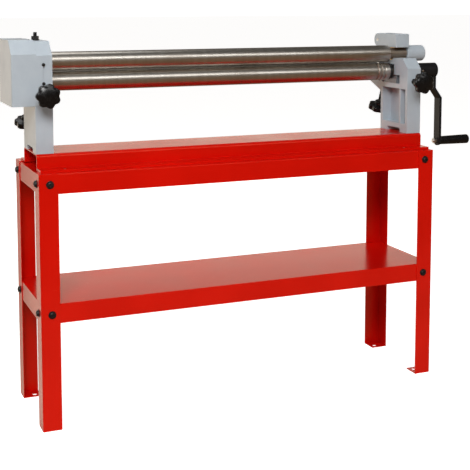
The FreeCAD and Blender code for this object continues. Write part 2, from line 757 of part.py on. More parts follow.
def bed_fasteners():
    """Bolts that hold the bed to the rails, and bolts that hold the housings to the bed."""
    bed_bolts = []
    housing_bolts = []
    for side in (-1, 1):
        for row in (-1, 1):
            title = f"{SIDE_NAME[side]}_{'front' if row < 0 else 'rear'}"
            x = bed_bolt_x[side]
            under = size.stand_height - size.sheet
            shank = rod(title + "_bed_shank", "Z", (x, row * bed_bolt_y, under - PAST),
                        size.sheet + size.bed_flange + PAST, size.bed_bolt_d / 2)
            head = hexagon(title + "_bed_head", "Z", (x, row * bed_bolt_y, under - size.stand_bolt_head),
                           size.stand_bolt_head, size.stand_bolt_head_d / 2)
            bed_bolts.append(fused(title + "_bed_bolt", [shank, head]))
            x = housing_middle[side]
            y = row * size.housing_bolt_y
            under = bed_top_z - size.bed_sheet
            washer = rod(title + "_foot_washer", "Z", (x, y, under - size.stand_washer), size.stand_washer,
                         size.housing_bolt_head_d / 2)
            head = hexagon(title + "_foot_head", "Z",
                           (x, y, under - size.stand_washer - size.housing_bolt_head),
                           size.housing_bolt_head, size.housing_bolt_head_d / 2)
            shank = rod(title + "_foot_shank", "Z", (x, y, under - size.stand_washer),
                        size.stand_washer + size.bed_sheet + size.housing_bolt_depth, size.housing_bolt_d / 2)
            housing_bolts.append(fused(title + "_foot_bolt", [washer, head, shank]))
    keep("bed_bolts", grouped("bed_bolts_group", bed_bolts))
    keep("housing_bolts", grouped("housing_bolts_group", housing_bolts))


# ---------------------------------------------------------------------------------------------------
# Housings
# ---------------------------------------------------------------------------------------------------

slot_half = size.block_width / 2
slot_top_z = lower_axis_z + size.block_above + size.nip_close + 2 * size.sliding_clearance
# A wedge keeps the whole block supported over its travel.
close_travel = size.nip_close / size.wedge_slope
open_travel = size.nip_open / size.wedge_slope
wedge_front = size.roll_y - slot_half - close_travel - size.wedge_play
wedge_rear = size.roll_y + slot_half + open_travel + size.wedge_play
wedge_middle_z = lower_axis_z - size.wedge_drop
wedge_floor_z = lower_axis_z - size.wedge_floor_drop
wedge_crown_z = wedge_middle_z + (size.roll_y - wedge_front) * size.wedge_slope
channel_front = wedge_front - open_travel - size.screw_ring - size.sliding_clearance - size.wedge_play
channel_rear = wedge_rear + close_travel + size.wedge_play
channel_top_z = wedge_crown_z + size.wedge_play
# Stations along the rear screw, counted from the rear roll's axis at rest.
rear_slot_low = -(size.rear_block / 2 + size.rear_down + 2 * size.screw_ring + size.wedge_play)
rear_slot_high = size.rear_block / 2 + size.rear_up + 2 * size.wedge_play


def lower_profile():
    """Column, arch notch and underside of the bulge, from the bulge's rear corner to the front foot."""
    notch = size.notch_width / 2
    return [
        (size.bulge_rear, bulge_rear_z),
        (column_half, column_rear_z),
        (column_half, bed_top_z),
        (notch, bed_top_z),
        (notch, bed_top_z + size.notch_height),
        (-notch, bed_top_z + size.notch_height),
        (-notch, bed_top_z),
        (-column_half, bed_top_z),
    ]


def left_profile():
    return lower_profile() + [
        (-column_half, left_top_z - size.left_chamfer),
        (-column_half + size.left_chamfer, left_top_z),
        (size.left_top_rear, left_top_z),
        (size.bulge_rear, left_top_z - size.left_top_fall),
    ]


keeper_pivot_z = keeper_bottom_z + size.keeper_height / 2
upright_top_z = keeper_bottom_z - size.sliding_clearance
keeper_round = size.keeper_height / 2
upright_front = size.roll_y + size.seat_bush_d / 2 + size.upright_wall


def right_profile():
    rear = size.keeper_pivot_y + keeper_round
    return lower_profile() + [
        (-column_half, seat_flat_z - size.right_chamfer),
        (-column_half + size.right_chamfer, seat_flat_z),
        (upright_front, seat_flat_z),
        (upright_front, upright_top_z),
        (rear, upright_top_z),
        (size.bulge_rear, upright_top_z - size.right_top_fall),
    ]


def x_span(side, near, far):
    """Two stations measured outwards from a housing's inner face, in rising order."""
    return sorted((inner_face[side] + side * Size.of(near), inner_face[side] + side * Size.of(far)),
                  key=float)


def housing(side, profile):
    """The casting with everything that is cut square to its faces."""
    name = SIDE_NAME[side] + "_housing"
    body = new_body(name)
    faces = x_span(side, 0, size.housing_thickness)
    pad(body, "YZ", faces[0], faces[1], lambda sketch: draw_outline(sketch, profile))
    feet = [(0, row * size.notch_width / 2, bed_top_z + size.notch_height) for row in (-1, 1)]
    round_edges(body, X_AXIS, feet, size.notch_height / 2)
    slot = x_span(side, 0, size.slot_depth)

    # Recess in the column, split by an upright rib.
    recess = x_span(side, 0, size.recess_depth)
    rib = (size.rib_y - size.rib_width / 2, size.rib_y + size.rib_width / 2)
    low = bed_top_z + size.recess_bottom
    high = low + size.recess_height
    for front, rear in ((-size.recess_front, rib[0]), (rib[1], size.recess_front)):
        pocket(body, "YZ", recess[0], recess[1],
               lambda sketch: draw_box(sketch, (front, low), (rear, high)))

    # Slot of the lower bearing block and, under it, the wedge's channel.
    pocket(body, "YZ", slot[0], slot[1],
           lambda sketch: draw_box(sketch, (size.roll_y - slot_half, wedge_floor_z),
                                   (size.roll_y + slot_half, slot_top_z)))
    pocket(body, "YZ", slot[0], slot[1],
           lambda sketch: draw_box(sketch, (channel_front, wedge_floor_z - size.running_clearance),
                                   (channel_rear, channel_top_z)))

    # Opening in the outer web for the lower shaft, tall enough for its travel.
    web = x_span(side, 0, size.housing_thickness)
    play = size.lower_journal_d / 2 + size.shaft_opening
    pocket(body, "YZ", web[0], web[1],
           lambda sketch: draw_box(sketch, (size.roll_y - play, lower_axis_z - play - size.nip_open),
                                   (size.roll_y + play, lower_axis_z + play + size.nip_close)))

    # Slanting slot of the rear bearing block.
    half = size.rear_block / 2 + size.sliding_clearance
    corners = [along_rear_screw(rear_slot_low, -half), along_rear_screw(rear_slot_low, half),
               along_rear_screw(rear_slot_high, half), along_rear_screw(rear_slot_high, -half)]
    pocket(body, "YZ", slot[0], slot[1], lambda sketch: draw_outline(sketch, corners))

    # Front screw, and the bolts in the two feet.
    front = (housing_middle[side], front_screw_z)
    pocket(body, "XZ", -column_half, channel_front,
           lambda sketch: draw_circle(sketch, front, size.front_screw_d / 2 + size.running_clearance))
    for row in (-1, 1):
        foot = (housing_middle[side], row * size.housing_bolt_y)
        pocket(body, "XY", bed_top_z, bed_top_z + size.housing_bolt_depth + PAST,
               lambda sketch: draw_circle(sketch, foot, size.housing_bolt_d / 2 + size.running_clearance))
    return body


def rear_screw_bore(side):
    """The slanting bore from the bulge's underside up into the rear slot."""
    length = bulge_drop + rear_slot_low + 2 * PAST
    y, z = along_rear_screw(-bulge_drop - PAST)
    bore = rod(SIDE_NAME[side] + "_rear_bore", "Z",
               (inner_face[side] + side * size.rear_screw_inset, y, z), length,
               size.rear_screw_d / 2 + size.running_clearance)
    lean_forward(bore)
    return bore


def lean_forward(item):
    """Tip an upright piece forward by the rear screws' angle."""
    item.Placement.Rotation = Rotation(X_AXIS, size.rear_tilt.value)
    bind(item, "Placement.Rotation.Angle", size.rear_tilt)


def left_housing():
    body = housing(-1, left_profile())
    faces = x_span(-1, 0, size.housing_thickness)
    centre = (size.roll_y, upper_axis_z)
    pocket(body, "YZ", faces[0], faces[1], lambda sketch: draw_circle(sketch, centre, size.bush_d / 2))
    screw = (housing_middle[-1], size.roll_y)
    pocket(body, "XY", upper_axis_z, left_top_z,
           lambda sketch: draw_circle(sketch, screw, size.set_screw_d / 2 + size.running_clearance))
    for height in cover_screw_heights():
        centre = (cover_screw_x, height)
        pocket(body, "XZ", -column_half, -column_half + size.cover_screw_depth,
               lambda sketch: draw_circle(sketch, centre, size.cover_screw_d / 2 + size.running_clearance))
    keep("left_housing", cut("left_housing_bored", body, rear_screw_bore(-1)))


def right_housing():
    body = housing(1, right_profile())
    faces = x_span(1, 0, size.housing_thickness)
    centre = (size.roll_y, upper_axis_z)
    pocket(body, "YZ", faces[0], faces[1],
           lambda sketch: draw_circle(sketch, centre, size.seat_bush_d / 2))
    # Tongue that carries the keeper's pivot.
    tongue = (housing_middle[1] - size.keeper_tongue / 2, housing_middle[1] + size.keeper_tongue / 2)
    radius = keeper_round - size.keeper_slot_room
    pivot = (size.keeper_pivot_y, keeper_pivot_z)
    pad(body, "YZ", tongue[0], tongue[1],
        lambda sketch: draw_box(sketch, (size.keeper_pivot_y - radius, upright_top_z - PAST),
                                (size.keeper_pivot_y + radius, keeper_pivot_z)))
    pad(body, "YZ", tongue[0], tongue[1], lambda sketch: draw_circle(sketch, pivot, radius))
    pocket(body, "YZ", tongue[0], tongue[1],
           lambda sketch: draw_circle(sketch, pivot, size.keeper_pin_d / 2))
    keep("right_housing", cut("right_housing_bored", body, rear_screw_bore(1)))


# ---------------------------------------------------------------------------------------------------
# Gear cover, bushes and the set screw
# ---------------------------------------------------------------------------------------------------

cover_screw_x = outer_face[-1] + size.cover_lip + size.cover_screw_out
cover_bottom_z = lower_axis_z - size.cover_drop
cover_top_z = left_top_z + size.cover_rise


def cover_screw_heights():
    """The two screws stand beside the two shafts."""
    return [lower_axis_z + size.cover_screw_shift, upper_axis_z - size.cover_screw_shift]


def gear_cover():
    """A box open towards the housing, with a front lip and a top edge that overlap the housing."""
    wall = size.cover_wall
    left = outer_face[-1] - size.cover_left
    right = outer_face[-1]
    front = -column_half - wall
    chamfer = size.left_chamfer
    low = cover_bottom_z
    high = cover_top_z
    rear = front + size.cover_depth
    outline = [(front, low), (rear, low), (rear, high), (front + chamfer, high), (front, high - chamfer)]
    body = new_body("gear_cover")
    pad(body, "YZ", left, right, lambda sketch: draw_outline(sketch, outline))
    # The inside follows the outside at one wall's distance, also along the chamfer.
    shift = wall * (math.sqrt(2) - 1)
    crown = [(front + chamfer + shift, high - wall), (front + wall, high - chamfer - shift)]
    inside = [(front + wall, low + wall), (rear - wall, low + wall), (rear - wall, high - wall)] + crown
    pocket(body, "YZ", left + wall, right, lambda sketch: draw_outline(sketch, inside))
    lip_top = left_top_z - size.left_chamfer
    rim = [(front, lip_top), (front, high - chamfer), (front + chamfer, high), (size.left_top_rear, high),
           (size.left_top_rear, high - wall)] + crown + [(front + wall, lip_top)]
    pad(body, "YZ", right - PAST, right + size.cover_overlap, lambda sketch: draw_outline(sketch, rim))
    pad(body, "XY", low, lip_top,
        lambda sketch: draw_box(sketch, (right - PAST, front), (right + size.cover_lip, front + wall)))
    for height in cover_screw_heights():
        centre = (cover_screw_x, height)
        pocket(body, "XZ", front, front + wall,
               lambda sketch: draw_circle(sketch, centre, size.cover_screw_d / 2 + size.running_clearance))
    # The lip stops short of the front screw's thrust collar.
    room = size.screw_collar_d / 2 + size.wedge_play
    notch = ((housing_middle[-1] - room, low), (right + size.cover_lip, front_screw_z + room))
    pocket(body, "XZ", front, front + wall, lambda sketch: draw_box(sketch, notch[0], notch[1]))
    side_edges = [(left, front, 0), (left, rear, 0)]
    round_edges(body, Z_AXIS, side_edges, size.fold_radius)
    keep("gear_cover", body)


def cover_screws():
    screws = []
    face = -column_half - size.cover_wall
    for number, height in enumerate(cover_screw_heights()):
        head = rod(f"cover_screw_head_{number}", "Y", (cover_screw_x, face - size.cover_screw_head, height),
                   size.cover_screw_head, size.cover_screw_head_d / 2)
        shank = rod(f"cover_screw_shank_{number}", "Y", (cover_screw_x, face - PAST, height),
                    size.cover_screw_depth + size.cover_wall, size.cover_screw_d / 2)
        screws.append(fused(f"cover_screw_{number}", [head, shank]))
    keep("gear_cover_screws", grouped("gear_cover_screws_group", screws))


def bushes():
    bore = size.upper_journal_d / 2 + size.running_clearance
    profile = tube_profile(outer_face[-1], inner_face[-1], bore, size.bush_d / 2 - size.press_clearance)
    body = turned("upper_left_bush", profile, (0, size.roll_y, upper_axis_z))
    keep("upper_left_bush", body)
    profile = tube_profile(inner_face[1], outer_face[1], bore, size.seat_bush_d / 2 - size.press_clearance)
    ring = turned("upper_right_ring", profile, (0, size.roll_y, upper_axis_z))
    reach = size.seat_bush_d
    above = block("above_seat", (inner_face[1] - PAST, size.roll_y - reach, seat_flat_z),
                  (outer_face[1] + PAST, size.roll_y + reach, upper_axis_z + reach))
    keep("upper_right_bush", cut("upper_right_bush_cut", ring, above))


def set_screw():
    """The set screw that locks the left bush, with a washer and a locknut."""
    x = housing_middle[-1]
    top = left_top_z
    low = upper_axis_z + size.bush_d / 2
    keep("set_screw", rod("set_screw_rod", "Z", (x, size.roll_y, low),
                          top - low + size.set_screw_stick_out, size.set_screw_d / 2))
    bore = size.set_screw_d / 2 + size.running_clearance
    washer = rod("set_washer_disc", "Z", (x, size.roll_y, top), size.set_washer, size.set_washer_d / 2)
    hole = rod("set_washer_hole", "Z", (x, size.roll_y, top - PAST), size.set_washer + 2 * PAST, bore)
    keep("set_screw_washer", cut("set_washer_ring", washer, hole))
    nut = hexagon("set_nut_hexagon", "Z", (x, size.roll_y, top + size.set_washer), size.set_nut,
                  size.set_nut_d / 2)
    hole = rod("set_nut_hole", "Z", (x, size.roll_y, top), size.set_washer + size.set_nut + PAST, bore)
    keep("set_screw_locknut", cut("set_nut_bored", nut, hole))


# ---------------------------------------------------------------------------------------------------
# Rolls
# ---------------------------------------------------------------------------------------------------

roll_radius = size.roll_diameter / 2
gear_right = outer_face[-1] - size.gear_gap
gear_left = gear_right - size.gear_width
# The thicker journals end a little way outside the housings.
journal_left = outer_face[-1] - size.outer_gap
cap_left = outer_face[1] + size.outer_gap
cap_right = cap_left + size.cap_length
hub_left = outer_face[1] + size.outer_gap
hub_right = hub_left + size.hub_length
hub_pin_x = hub_left + size.hub_length / 2


def groove_cutters(name, centre):
    """Rings that cut three wire grooves, each one size larger than the last."""
    rings = []
    for number in range(3):
        ring = doc.addObject("Part::Torus", f"{name}_groove_{number}")
        ring.Placement = Placement(Vector(), TURN_TO["X"])
        bind(ring, "Radius1", roll_radius)
        bind(ring, "Radius2", size.groove_radius + number)
        x = roll_end[1] - size.groove_first - number * size.groove_pitch
        place(ring, (x, centre[1], centre[2]))
        rings.append(ring)
    return fused(name + "_grooves", rings)


def keyway(name, centre):
    """The cutter for a keyway in the top of a shaft and in its gear."""
    half = size.key_width / 2 + size.running_clearance
    high = centre[2] + size.shaft_d / 2 + half
    low = centre[2] + size.shaft_d / 2 - half
    return block(name, (gear_left, centre[1] - half, low), (gear_right, centre[1] + half, high))


def upper_roll():
    centre = (0, size.roll_y, upper_axis_z)
    shaft = size.shaft_d / 2
    journal = size.upper_journal_d / 2
    stations = [
        (gear_left, shaft), (journal_left, shaft), (journal_left, journal),
        (roll_end[-1], journal), (roll_end[-1], roll_radius), (roll_end[1], roll_radius),
        (roll_end[1], journal), (cap_left, journal), (cap_left, shaft),
        (cap_right - size.cap_floor - PAST, shaft),
    ]
    body = turned("upper_roll", shaft_profile(stations), centre)
    bored = cut("upper_roll_keyed", body, keyway("upper_roll_keyway", centre))
    keep("upper_roll", cut("upper_roll_tapped", bored, end_screw_hole("upper", centre)))
    profile = [
        (cap_left, shaft + size.running_clearance), (cap_left, size.cap_d / 2),
        (cap_right - size.cap_chamfer, size.cap_d / 2), (cap_right, size.cap_d / 2 - size.cap_chamfer),
        (cap_right, 0), (cap_right - size.cap_floor, 0),
        (cap_right - size.cap_floor, shaft + size.running_clearance),
    ]
    keep("roll_end_cap", turned("roll_end_cap", profile, centre))


def lower_roll():
    centre = (0, size.roll_y, lower_axis_z)
    shaft = size.shaft_d / 2
    journal = size.lower_journal_d / 2
    crank_end = hub_right - size.hub_floor - PAST
    stations = [
        (gear_left, shaft), (journal_left, shaft), (journal_left, journal),
        (roll_end[-1], journal), (roll_end[-1], roll_radius), (roll_end[1], roll_radius),
        (roll_end[1], journal), (hub_left - PAST, journal), (hub_left - PAST, size.hub_bore_d / 2),
        (crank_end, size.hub_bore_d / 2),
    ]
    body = turned("lower_roll", shaft_profile(stations), centre)
    grooved = cut("lower_roll_grooved", body, groove_cutters("lower", centre))
    keyed = cut("lower_roll_keyed", grooved, keyway("lower_roll_keyway", centre))
    pin_hole = rod("lower_pin_hole", "Y", (hub_pin_x, size.roll_y - size.hub_d / 2, lower_axis_z),
                   size.hub_d, size.hub_pin_d / 2 + size.running_clearance)
    drilled = cut("lower_roll_drilled", keyed, pin_hole)
    keep("lower_roll", cut("lower_roll_tapped", drilled, end_screw_hole("lower", centre)))
    collars = []
    for side in (-1, 1):
        ends = sorted((roll_end[side], roll_end[side] + side * size.collar), key=float)
        profile = tube_profile(ends[0], ends[1], journal + size.running_clearance, size.collar_d / 2)
        collars.append(turned(SIDE_NAME[side] + "_collar", profile, centre))
    keep("lower_thrust_collars", grouped("lower_thrust_collars_group", collars))


def rear_roll():
    centre = (0, size.rear_axis_y, rear_axis_z)
    journal = size.rear_journal_d / 2
    tip = {side: inner_face[side] + side * size.rear_journal for side in (-1, 1)}
    stations = [
        (tip[-1], journal), (roll_end[-1], journal), (roll_end[-1], roll_radius),
        (roll_end[1], roll_radius), (roll_end[1], journal), (tip[1], journal),
    ]
    body = turned("rear_roll", shaft_profile(stations), centre)
    keep("rear_roll", cut("rear_roll_grooved", body, groove_cutters("rear", centre)))


# ---------------------------------------------------------------------------------------------------
# Gears
# ---------------------------------------------------------------------------------------------------

# The gears mesh fully when the nip is almost closed, and keep meshing while it opens.
gear_pitch_d = size.roll_diameter + size.nip_gap - size.nip_close


def tooth_outline(teeth, pitch_radius, backlash):
    """Points of a spur gear with straight-sided, tapered teeth and one tooth on +Y."""
    module = 2 * pitch_radius / teeth
    pitch_half = math.pi / teeth / 2 - backlash / pitch_radius / 2
    levels = [(pitch_radius - 1.2 * module, 1.62), (pitch_radius - 0.55 * module, 1.3),
              (pitch_radius, 1.0), (pitch_radius + 0.45 * module, 0.68),
              (pitch_radius + 0.85 * module, 0.34)]
    points = []
    for tooth in range(teeth):
        middle = math.pi / 2 + 2 * math.pi * tooth / teeth
        flank = [(radius, middle - pitch_half * share) for radius, share in levels]
        flank += [(radius, middle + pitch_half * share) for radius, share in reversed(levels)]
        points += [Vector(r * math.cos(a), r * math.sin(a), 0) for r, a in flank]
    return points


def gear(name, centre, phase):
    """A spur gear with a keyed bore. Its tooth form is computed, so its shape is set directly."""
    points = tooth_outline(int(size.gear_teeth.value), gear_pitch_d.value / 2, size.gear_backlash.value)
    blank = Part.Face(Part.makePolygon(points + [points[0]])).extrude(Vector(0, 0, size.gear_width.value))
    bore = Part.makeCylinder((size.shaft_d / 2 + size.press_clearance).value, size.gear_width.value)
    item = doc.addObject("Part::Feature", name + "_toothed")
    item.Shape = blank.cut(bore)
    # Local X and Y go to the machine's Y and Z, so that the gear's own axis lies along X.
    to_axis = Rotation(Vector(0, 1, 0), Vector(0, 0, 1), Vector(1, 0, 0), "ZXY")
    turn = Rotation(X_AXIS, phase)
    item.Placement = Placement(Vector(gear_left.value, centre[1].value, centre[2].value), turn * to_axis)
    keep(name, cut(name + "_keyed", item, keyway(name + "_keyway", centre)))


def end_screw_hole(name, centre):
    return rod(name + "_end_hole", "X", (gear_left - PAST, centre[1], centre[2]),
               size.gear_screw_depth + 2 * PAST, size.gear_screw_d / 2 + size.running_clearance)


def gear_train():
    half_tooth = 180.0 / size.gear_teeth.value
    for name, height, phase in (("upper", upper_axis_z, half_tooth), ("lower", lower_axis_z, 0)):
        centre = (0, size.roll_y, height)
        gear(name + "_gear", centre, phase)
        half = size.key_width / 2
        on_shaft = height + size.shaft_d / 2
        key = block(name + "_key_bar", (gear_left, size.roll_y - half, on_shaft - half),
                    (gear_right, size.roll_y + half, on_shaft + half))
        keep(name + "_gear_key", key)
        washer = rod(name + "_gear_washer", "X", (gear_left - size.gear_washer, size.roll_y, height),
                     size.gear_washer, size.gear_washer_d / 2)
        head = hexagon(name + "_gear_screw_head", "X",
                       (gear_left - size.gear_washer - size.gear_screw_head, size.roll_y, height),
                       size.gear_screw_head, size.gear_screw_head_d / 2)
        shank = rod(name + "_gear_screw_shank", "X", (gear_left - size.gear_washer, size.roll_y, height),
                    size.gear_washer + size.gear_screw_depth, size.gear_screw_d / 2)
        keep(name + "_gear_screw", fused(name + "_gear_screw_fused", [washer, head, shank]))


# ---------------------------------------------------------------------------------------------------
# Bearing blocks, wedges, adjusting screws and knobs
# ---------------------------------------------------------------------------------------------------

def lower_block(side):
    """A block round the lower journal, with an underside that lies on the wedge."""
    half = slot_half - size.sliding_clearance
    front = size.roll_y - half
    rear = size.roll_y + half
    seat = wedge_middle_z + size.sliding_clearance
    outline = [
        (front, seat + half * size.wedge_slope), (rear, seat - half * size.wedge_slope),
        (rear, lower_axis_z + size.block_above), (front, lower_axis_z + size.block_above),
    ]
    name = f"lower_{SIDE_NAME[side]}_block"
    body = new_body(name)
    span = x_span(side, 0, size.slot_depth - size.sliding_clearance)
    pad(body, "YZ", span[0], span[1], lambda sketch: draw_outline(sketch, outline))
    radius = size.lower_journal_d / 2 + size.running_clearance
    pocket(body, "YZ", span[0], span[1],
           lambda sketch: draw_circle(sketch, (size.roll_y, lower_axis_z), radius))
    keep(name, body)


# The front screw still fills half of its thread in the wedge when the wedge is fully home.
front_screw_tip = wedge_front + close_travel + size.front_screw_d


def wedge(side):
    """A taper that lifts the lower block when the front screw drives it rearwards."""
    name = SIDE_NAME[side] + "_wedge"
    body = new_body(name)
    outline = [
        (wedge_front, wedge_floor_z), (wedge_rear, wedge_floor_z),
        (wedge_rear, wedge_middle_z - (wedge_rear - size.roll_y) * size.wedge_slope),
        (wedge_front, wedge_crown_z),
    ]
    span = x_span(side, size.sliding_clearance, size.slot_depth - size.sliding_clearance)
    pad(body, "YZ", span[0], span[1], lambda sketch: draw_outline(sketch, outline))
    centre = (housing_middle[side], front_screw_z)
    pocket(body, "XZ", wedge_front, front_screw_tip + open_travel + size.wedge_play,
           lambda sketch: draw_circle(sketch, centre, size.front_screw_d / 2 + size.running_clearance))
    keep(name, body)


def rear_bearing_block(side):
    """A square block on the slanting rear screw, with a blind bore for the rear roll's journal."""
    half = size.rear_block / 2
    corners = [along_rear_screw(-half, -half), along_rear_screw(-half, half),
               along_rear_screw(half, half), along_rear_screw(half, -half)]
    name = f"rear_{SIDE_NAME[side]}_block"
    body = new_body(name)
    span = x_span(side, 0, size.slot_depth - size.sliding_clearance)
    pad(body, "YZ", span[0], span[1], lambda sketch: draw_outline(sketch, corners))
    bore = x_span(side, 0, size.rear_journal + size.wedge_play)
    radius = size.rear_journal_d / 2 + size.running_clearance
    pocket(body, "YZ", bore[0], bore[1],
           lambda sketch: draw_circle(sketch, (size.rear_axis_y, rear_axis_z), radius))
    y, z = along_rear_screw(-size.rear_block)
    hole = rod(name + "_thread", "Z", (inner_face[side] + side * size.rear_screw_inset, y, z),
               2 * size.rear_block, size.rear_screw_d / 2 + size.running_clearance)
    lean_forward(hole)
    keep(name, cut(name + "_threaded", body, hole))


def knob(name, place_knob):
    """A star knob turned about X, head to the left, then hollowed between its lobes."""
    outer = size.knob_d / 2
    high = size.knob_height
    edge = size.knob_chamfer
    profile = [
        (0, 0), (0, outer - 2 * edge), (edge, outer), (high - edge, outer), (high, outer - edge),
        (high, size.knob_hub_d / 2), (high + size.knob_hub, size.knob_hub_d / 2),
        (high + size.knob_hub, 0),
    ]
    body = turned(name, profile)
    sketch = new_sketch(body, "YZ", 0)
    draw_circle(sketch, (outer + size.knob_notch * 0.45, 0), size.knob_notch)
    hollow = body.newObject("PartDesign::Pocket", name + "_hollow")
    hollow.Profile = sketch
    hollow.Reversed = True
    bind(hollow, "Length", high)
    doc.recompute()
    before = body.Shape.Volume
    pattern = body.newObject("PartDesign::PolarPattern", name + "_hollows")
    pattern.Originals = [hollow]
    pattern.Axis = (sketch, ["N_Axis"])
    pattern.Angle = 360
    bind(pattern, "Occurrences", size.knob_lobes)
    body.Tip = pattern
    doc.recompute()
    if body.Shape.Volume >= before:
        raise RuntimeError(name + " has no hollows between its lobes")
    bore = rod(name + "_bore", "X", (high / 2, 0, 0), high + size.knob_hub, knob_bore / 2)
    bored = cut(name + "_bored", body, bore)
    place_knob(bored)
    keep(name, bored)


knob_bore = size.front_screw_d + 2 * size.running_clearance
knob_length = size.knob_height + size.knob_hub


def front_screw(side):
    """A screw along Y with a thrust collar outside the housing and a ring inside its channel."""
    thread = size.front_screw_d / 2
    ring = thread + size.screw_ring_height
    collar = size.screw_collar_d / 2
    outside = -column_half - size.sliding_clearance
    inside = channel_front + size.sliding_clearance
    stations = [
        (-size.front_knob_reach + size.knob_height / 2, thread), (outside - size.screw_collar, thread),
        (outside - size.screw_collar, collar), (outside, collar), (outside, thread), (inside, thread),
        (inside, ring), (inside + size.screw_ring, ring), (inside + size.screw_ring, thread),
        (front_screw_tip, thread),
    ]
    name = SIDE_NAME[side] + "_front_screw"
    body = turned(name, shaft_profile(stations), (housing_middle[side], 0, front_screw_z))
    point_along_y(body)
    keep(name, body)

    def place_knob(item):
        place(item, (housing_middle[side], -size.front_knob_reach, front_screw_z))
        point_along_y(item)

    knob(SIDE_NAME[side] + "_front_knob", place_knob)


def point_along_y(item):
    item.Placement = Placement(item.Placement.Base, Rotation(Z_AXIS, 90))


def point_up_the_slant(item):
    """Turn a piece's X axis up the rear screw's line."""
    upright = Rotation(Y_AXIS, -90)
    item.Placement = Placement(item.Placement.Base, Rotation(X_AXIS, size.rear_tilt.value) * upright)


def rear_screw(side):
    """A slanting screw, captive in the bulge, that carries the rear bearing block."""
    thread = size.rear_screw_d / 2
    tail = size.front_screw_d / 2
    ring = thread + size.screw_ring_height
    collar = size.screw_collar_d / 2
    outside = -bulge_drop - size.sliding_clearance
    inside = rear_slot_low + size.sliding_clearance
    head = -size.rear_knob_drop
    stations = [
        (head + size.knob_height / 2, tail), (head + knob_length, tail), (head + knob_length, thread),
        (outside - size.screw_collar, thread), (outside - size.screw_collar, collar), (outside, collar),
        (outside, thread), (inside, thread), (inside, ring), (inside + size.screw_ring, ring),
        (inside + size.screw_ring, thread), (rear_slot_high - size.wedge_play, thread),
    ]
    x = inner_face[side] + side * size.rear_screw_inset
    name = SIDE_NAME[side] + "_rear_screw"
    body = turned(name, shaft_profile(stations), (x, size.rear_axis_y, rear_axis_z))
    point_up_the_slant(body)
    keep(name, body)

    def place_knob(item):
        y, z = along_rear_screw(head)
        place(item, (x, y, z))
        point_up_the_slant(item)

    knob(SIDE_NAME[side] + "_rear_knob", place_knob)


# ---------------------------------------------------------------------------------------------------
# Keeper
# ---------------------------------------------------------------------------------------------------

def keeper():
    """The block that closes over the right journal and swings back about its rear pin."""
    low = keeper_bottom_z
    high = low + size.keeper_height
    body = new_body("keeper")
    faces = x_span(1, 0, size.housing_thickness)
    pivot = (size.keeper_pivot_y, keeper_pivot_z)
    pad(body, "YZ", faces[0], faces[1],
        lambda sketch: draw_box(sketch, (size.keeper_front, low), (size.keeper_pivot_y, high)))
    pad(body, "YZ", faces[0], faces[1], lambda sketch: draw_circle(sketch, pivot, keeper_round))
    half = size.keeper_tongue / 2 + size.sliding_clearance
    reach = keeper_round + size.keeper_slot_room
    pocket(body, "YZ", housing_middle[1] - half, housing_middle[1] + half,
           lambda sketch: draw_box(sketch, (size.keeper_pivot_y - reach, low - PAST),
                                   (size.keeper_pivot_y + reach, high + PAST)))
    pocket(body, "YZ", faces[0], faces[1],
           lambda sketch: draw_circle(sketch, pivot, size.keeper_pin_d / 2 + size.running_clearance))
    keep("keeper", body)
    gap = size.sliding_clearance
    keep("keeper_pin", rod("keeper_pin_rod", "X", (inner_face[1] + gap, pivot[0], pivot[1]),
                           size.housing_thickness - 2 * gap, size.keeper_pin_d / 2 - size.press_clearance))
    half = size.keeper_pad_width / 2
    journal_top = upper_axis_z + size.upper_journal_d / 2
    keep("keeper_pad", block("keeper_pad_block",
                             (inner_face[1] + size.keeper_pad_inset, size.roll_y - half,
                              journal_top + size.sliding_clearance),
                             (outer_face[1] - size.keeper_pad_inset, size.roll_y + half, low)))


# ---------------------------------------------------------------------------------------------------
# Crank
# ---------------------------------------------------------------------------------------------------

grip_axis_z = lower_axis_z - size.crank_radius
arm_near = hub_right - size.arm_inset - size.arm_thickness
arm_far = arm_near + size.arm_jog


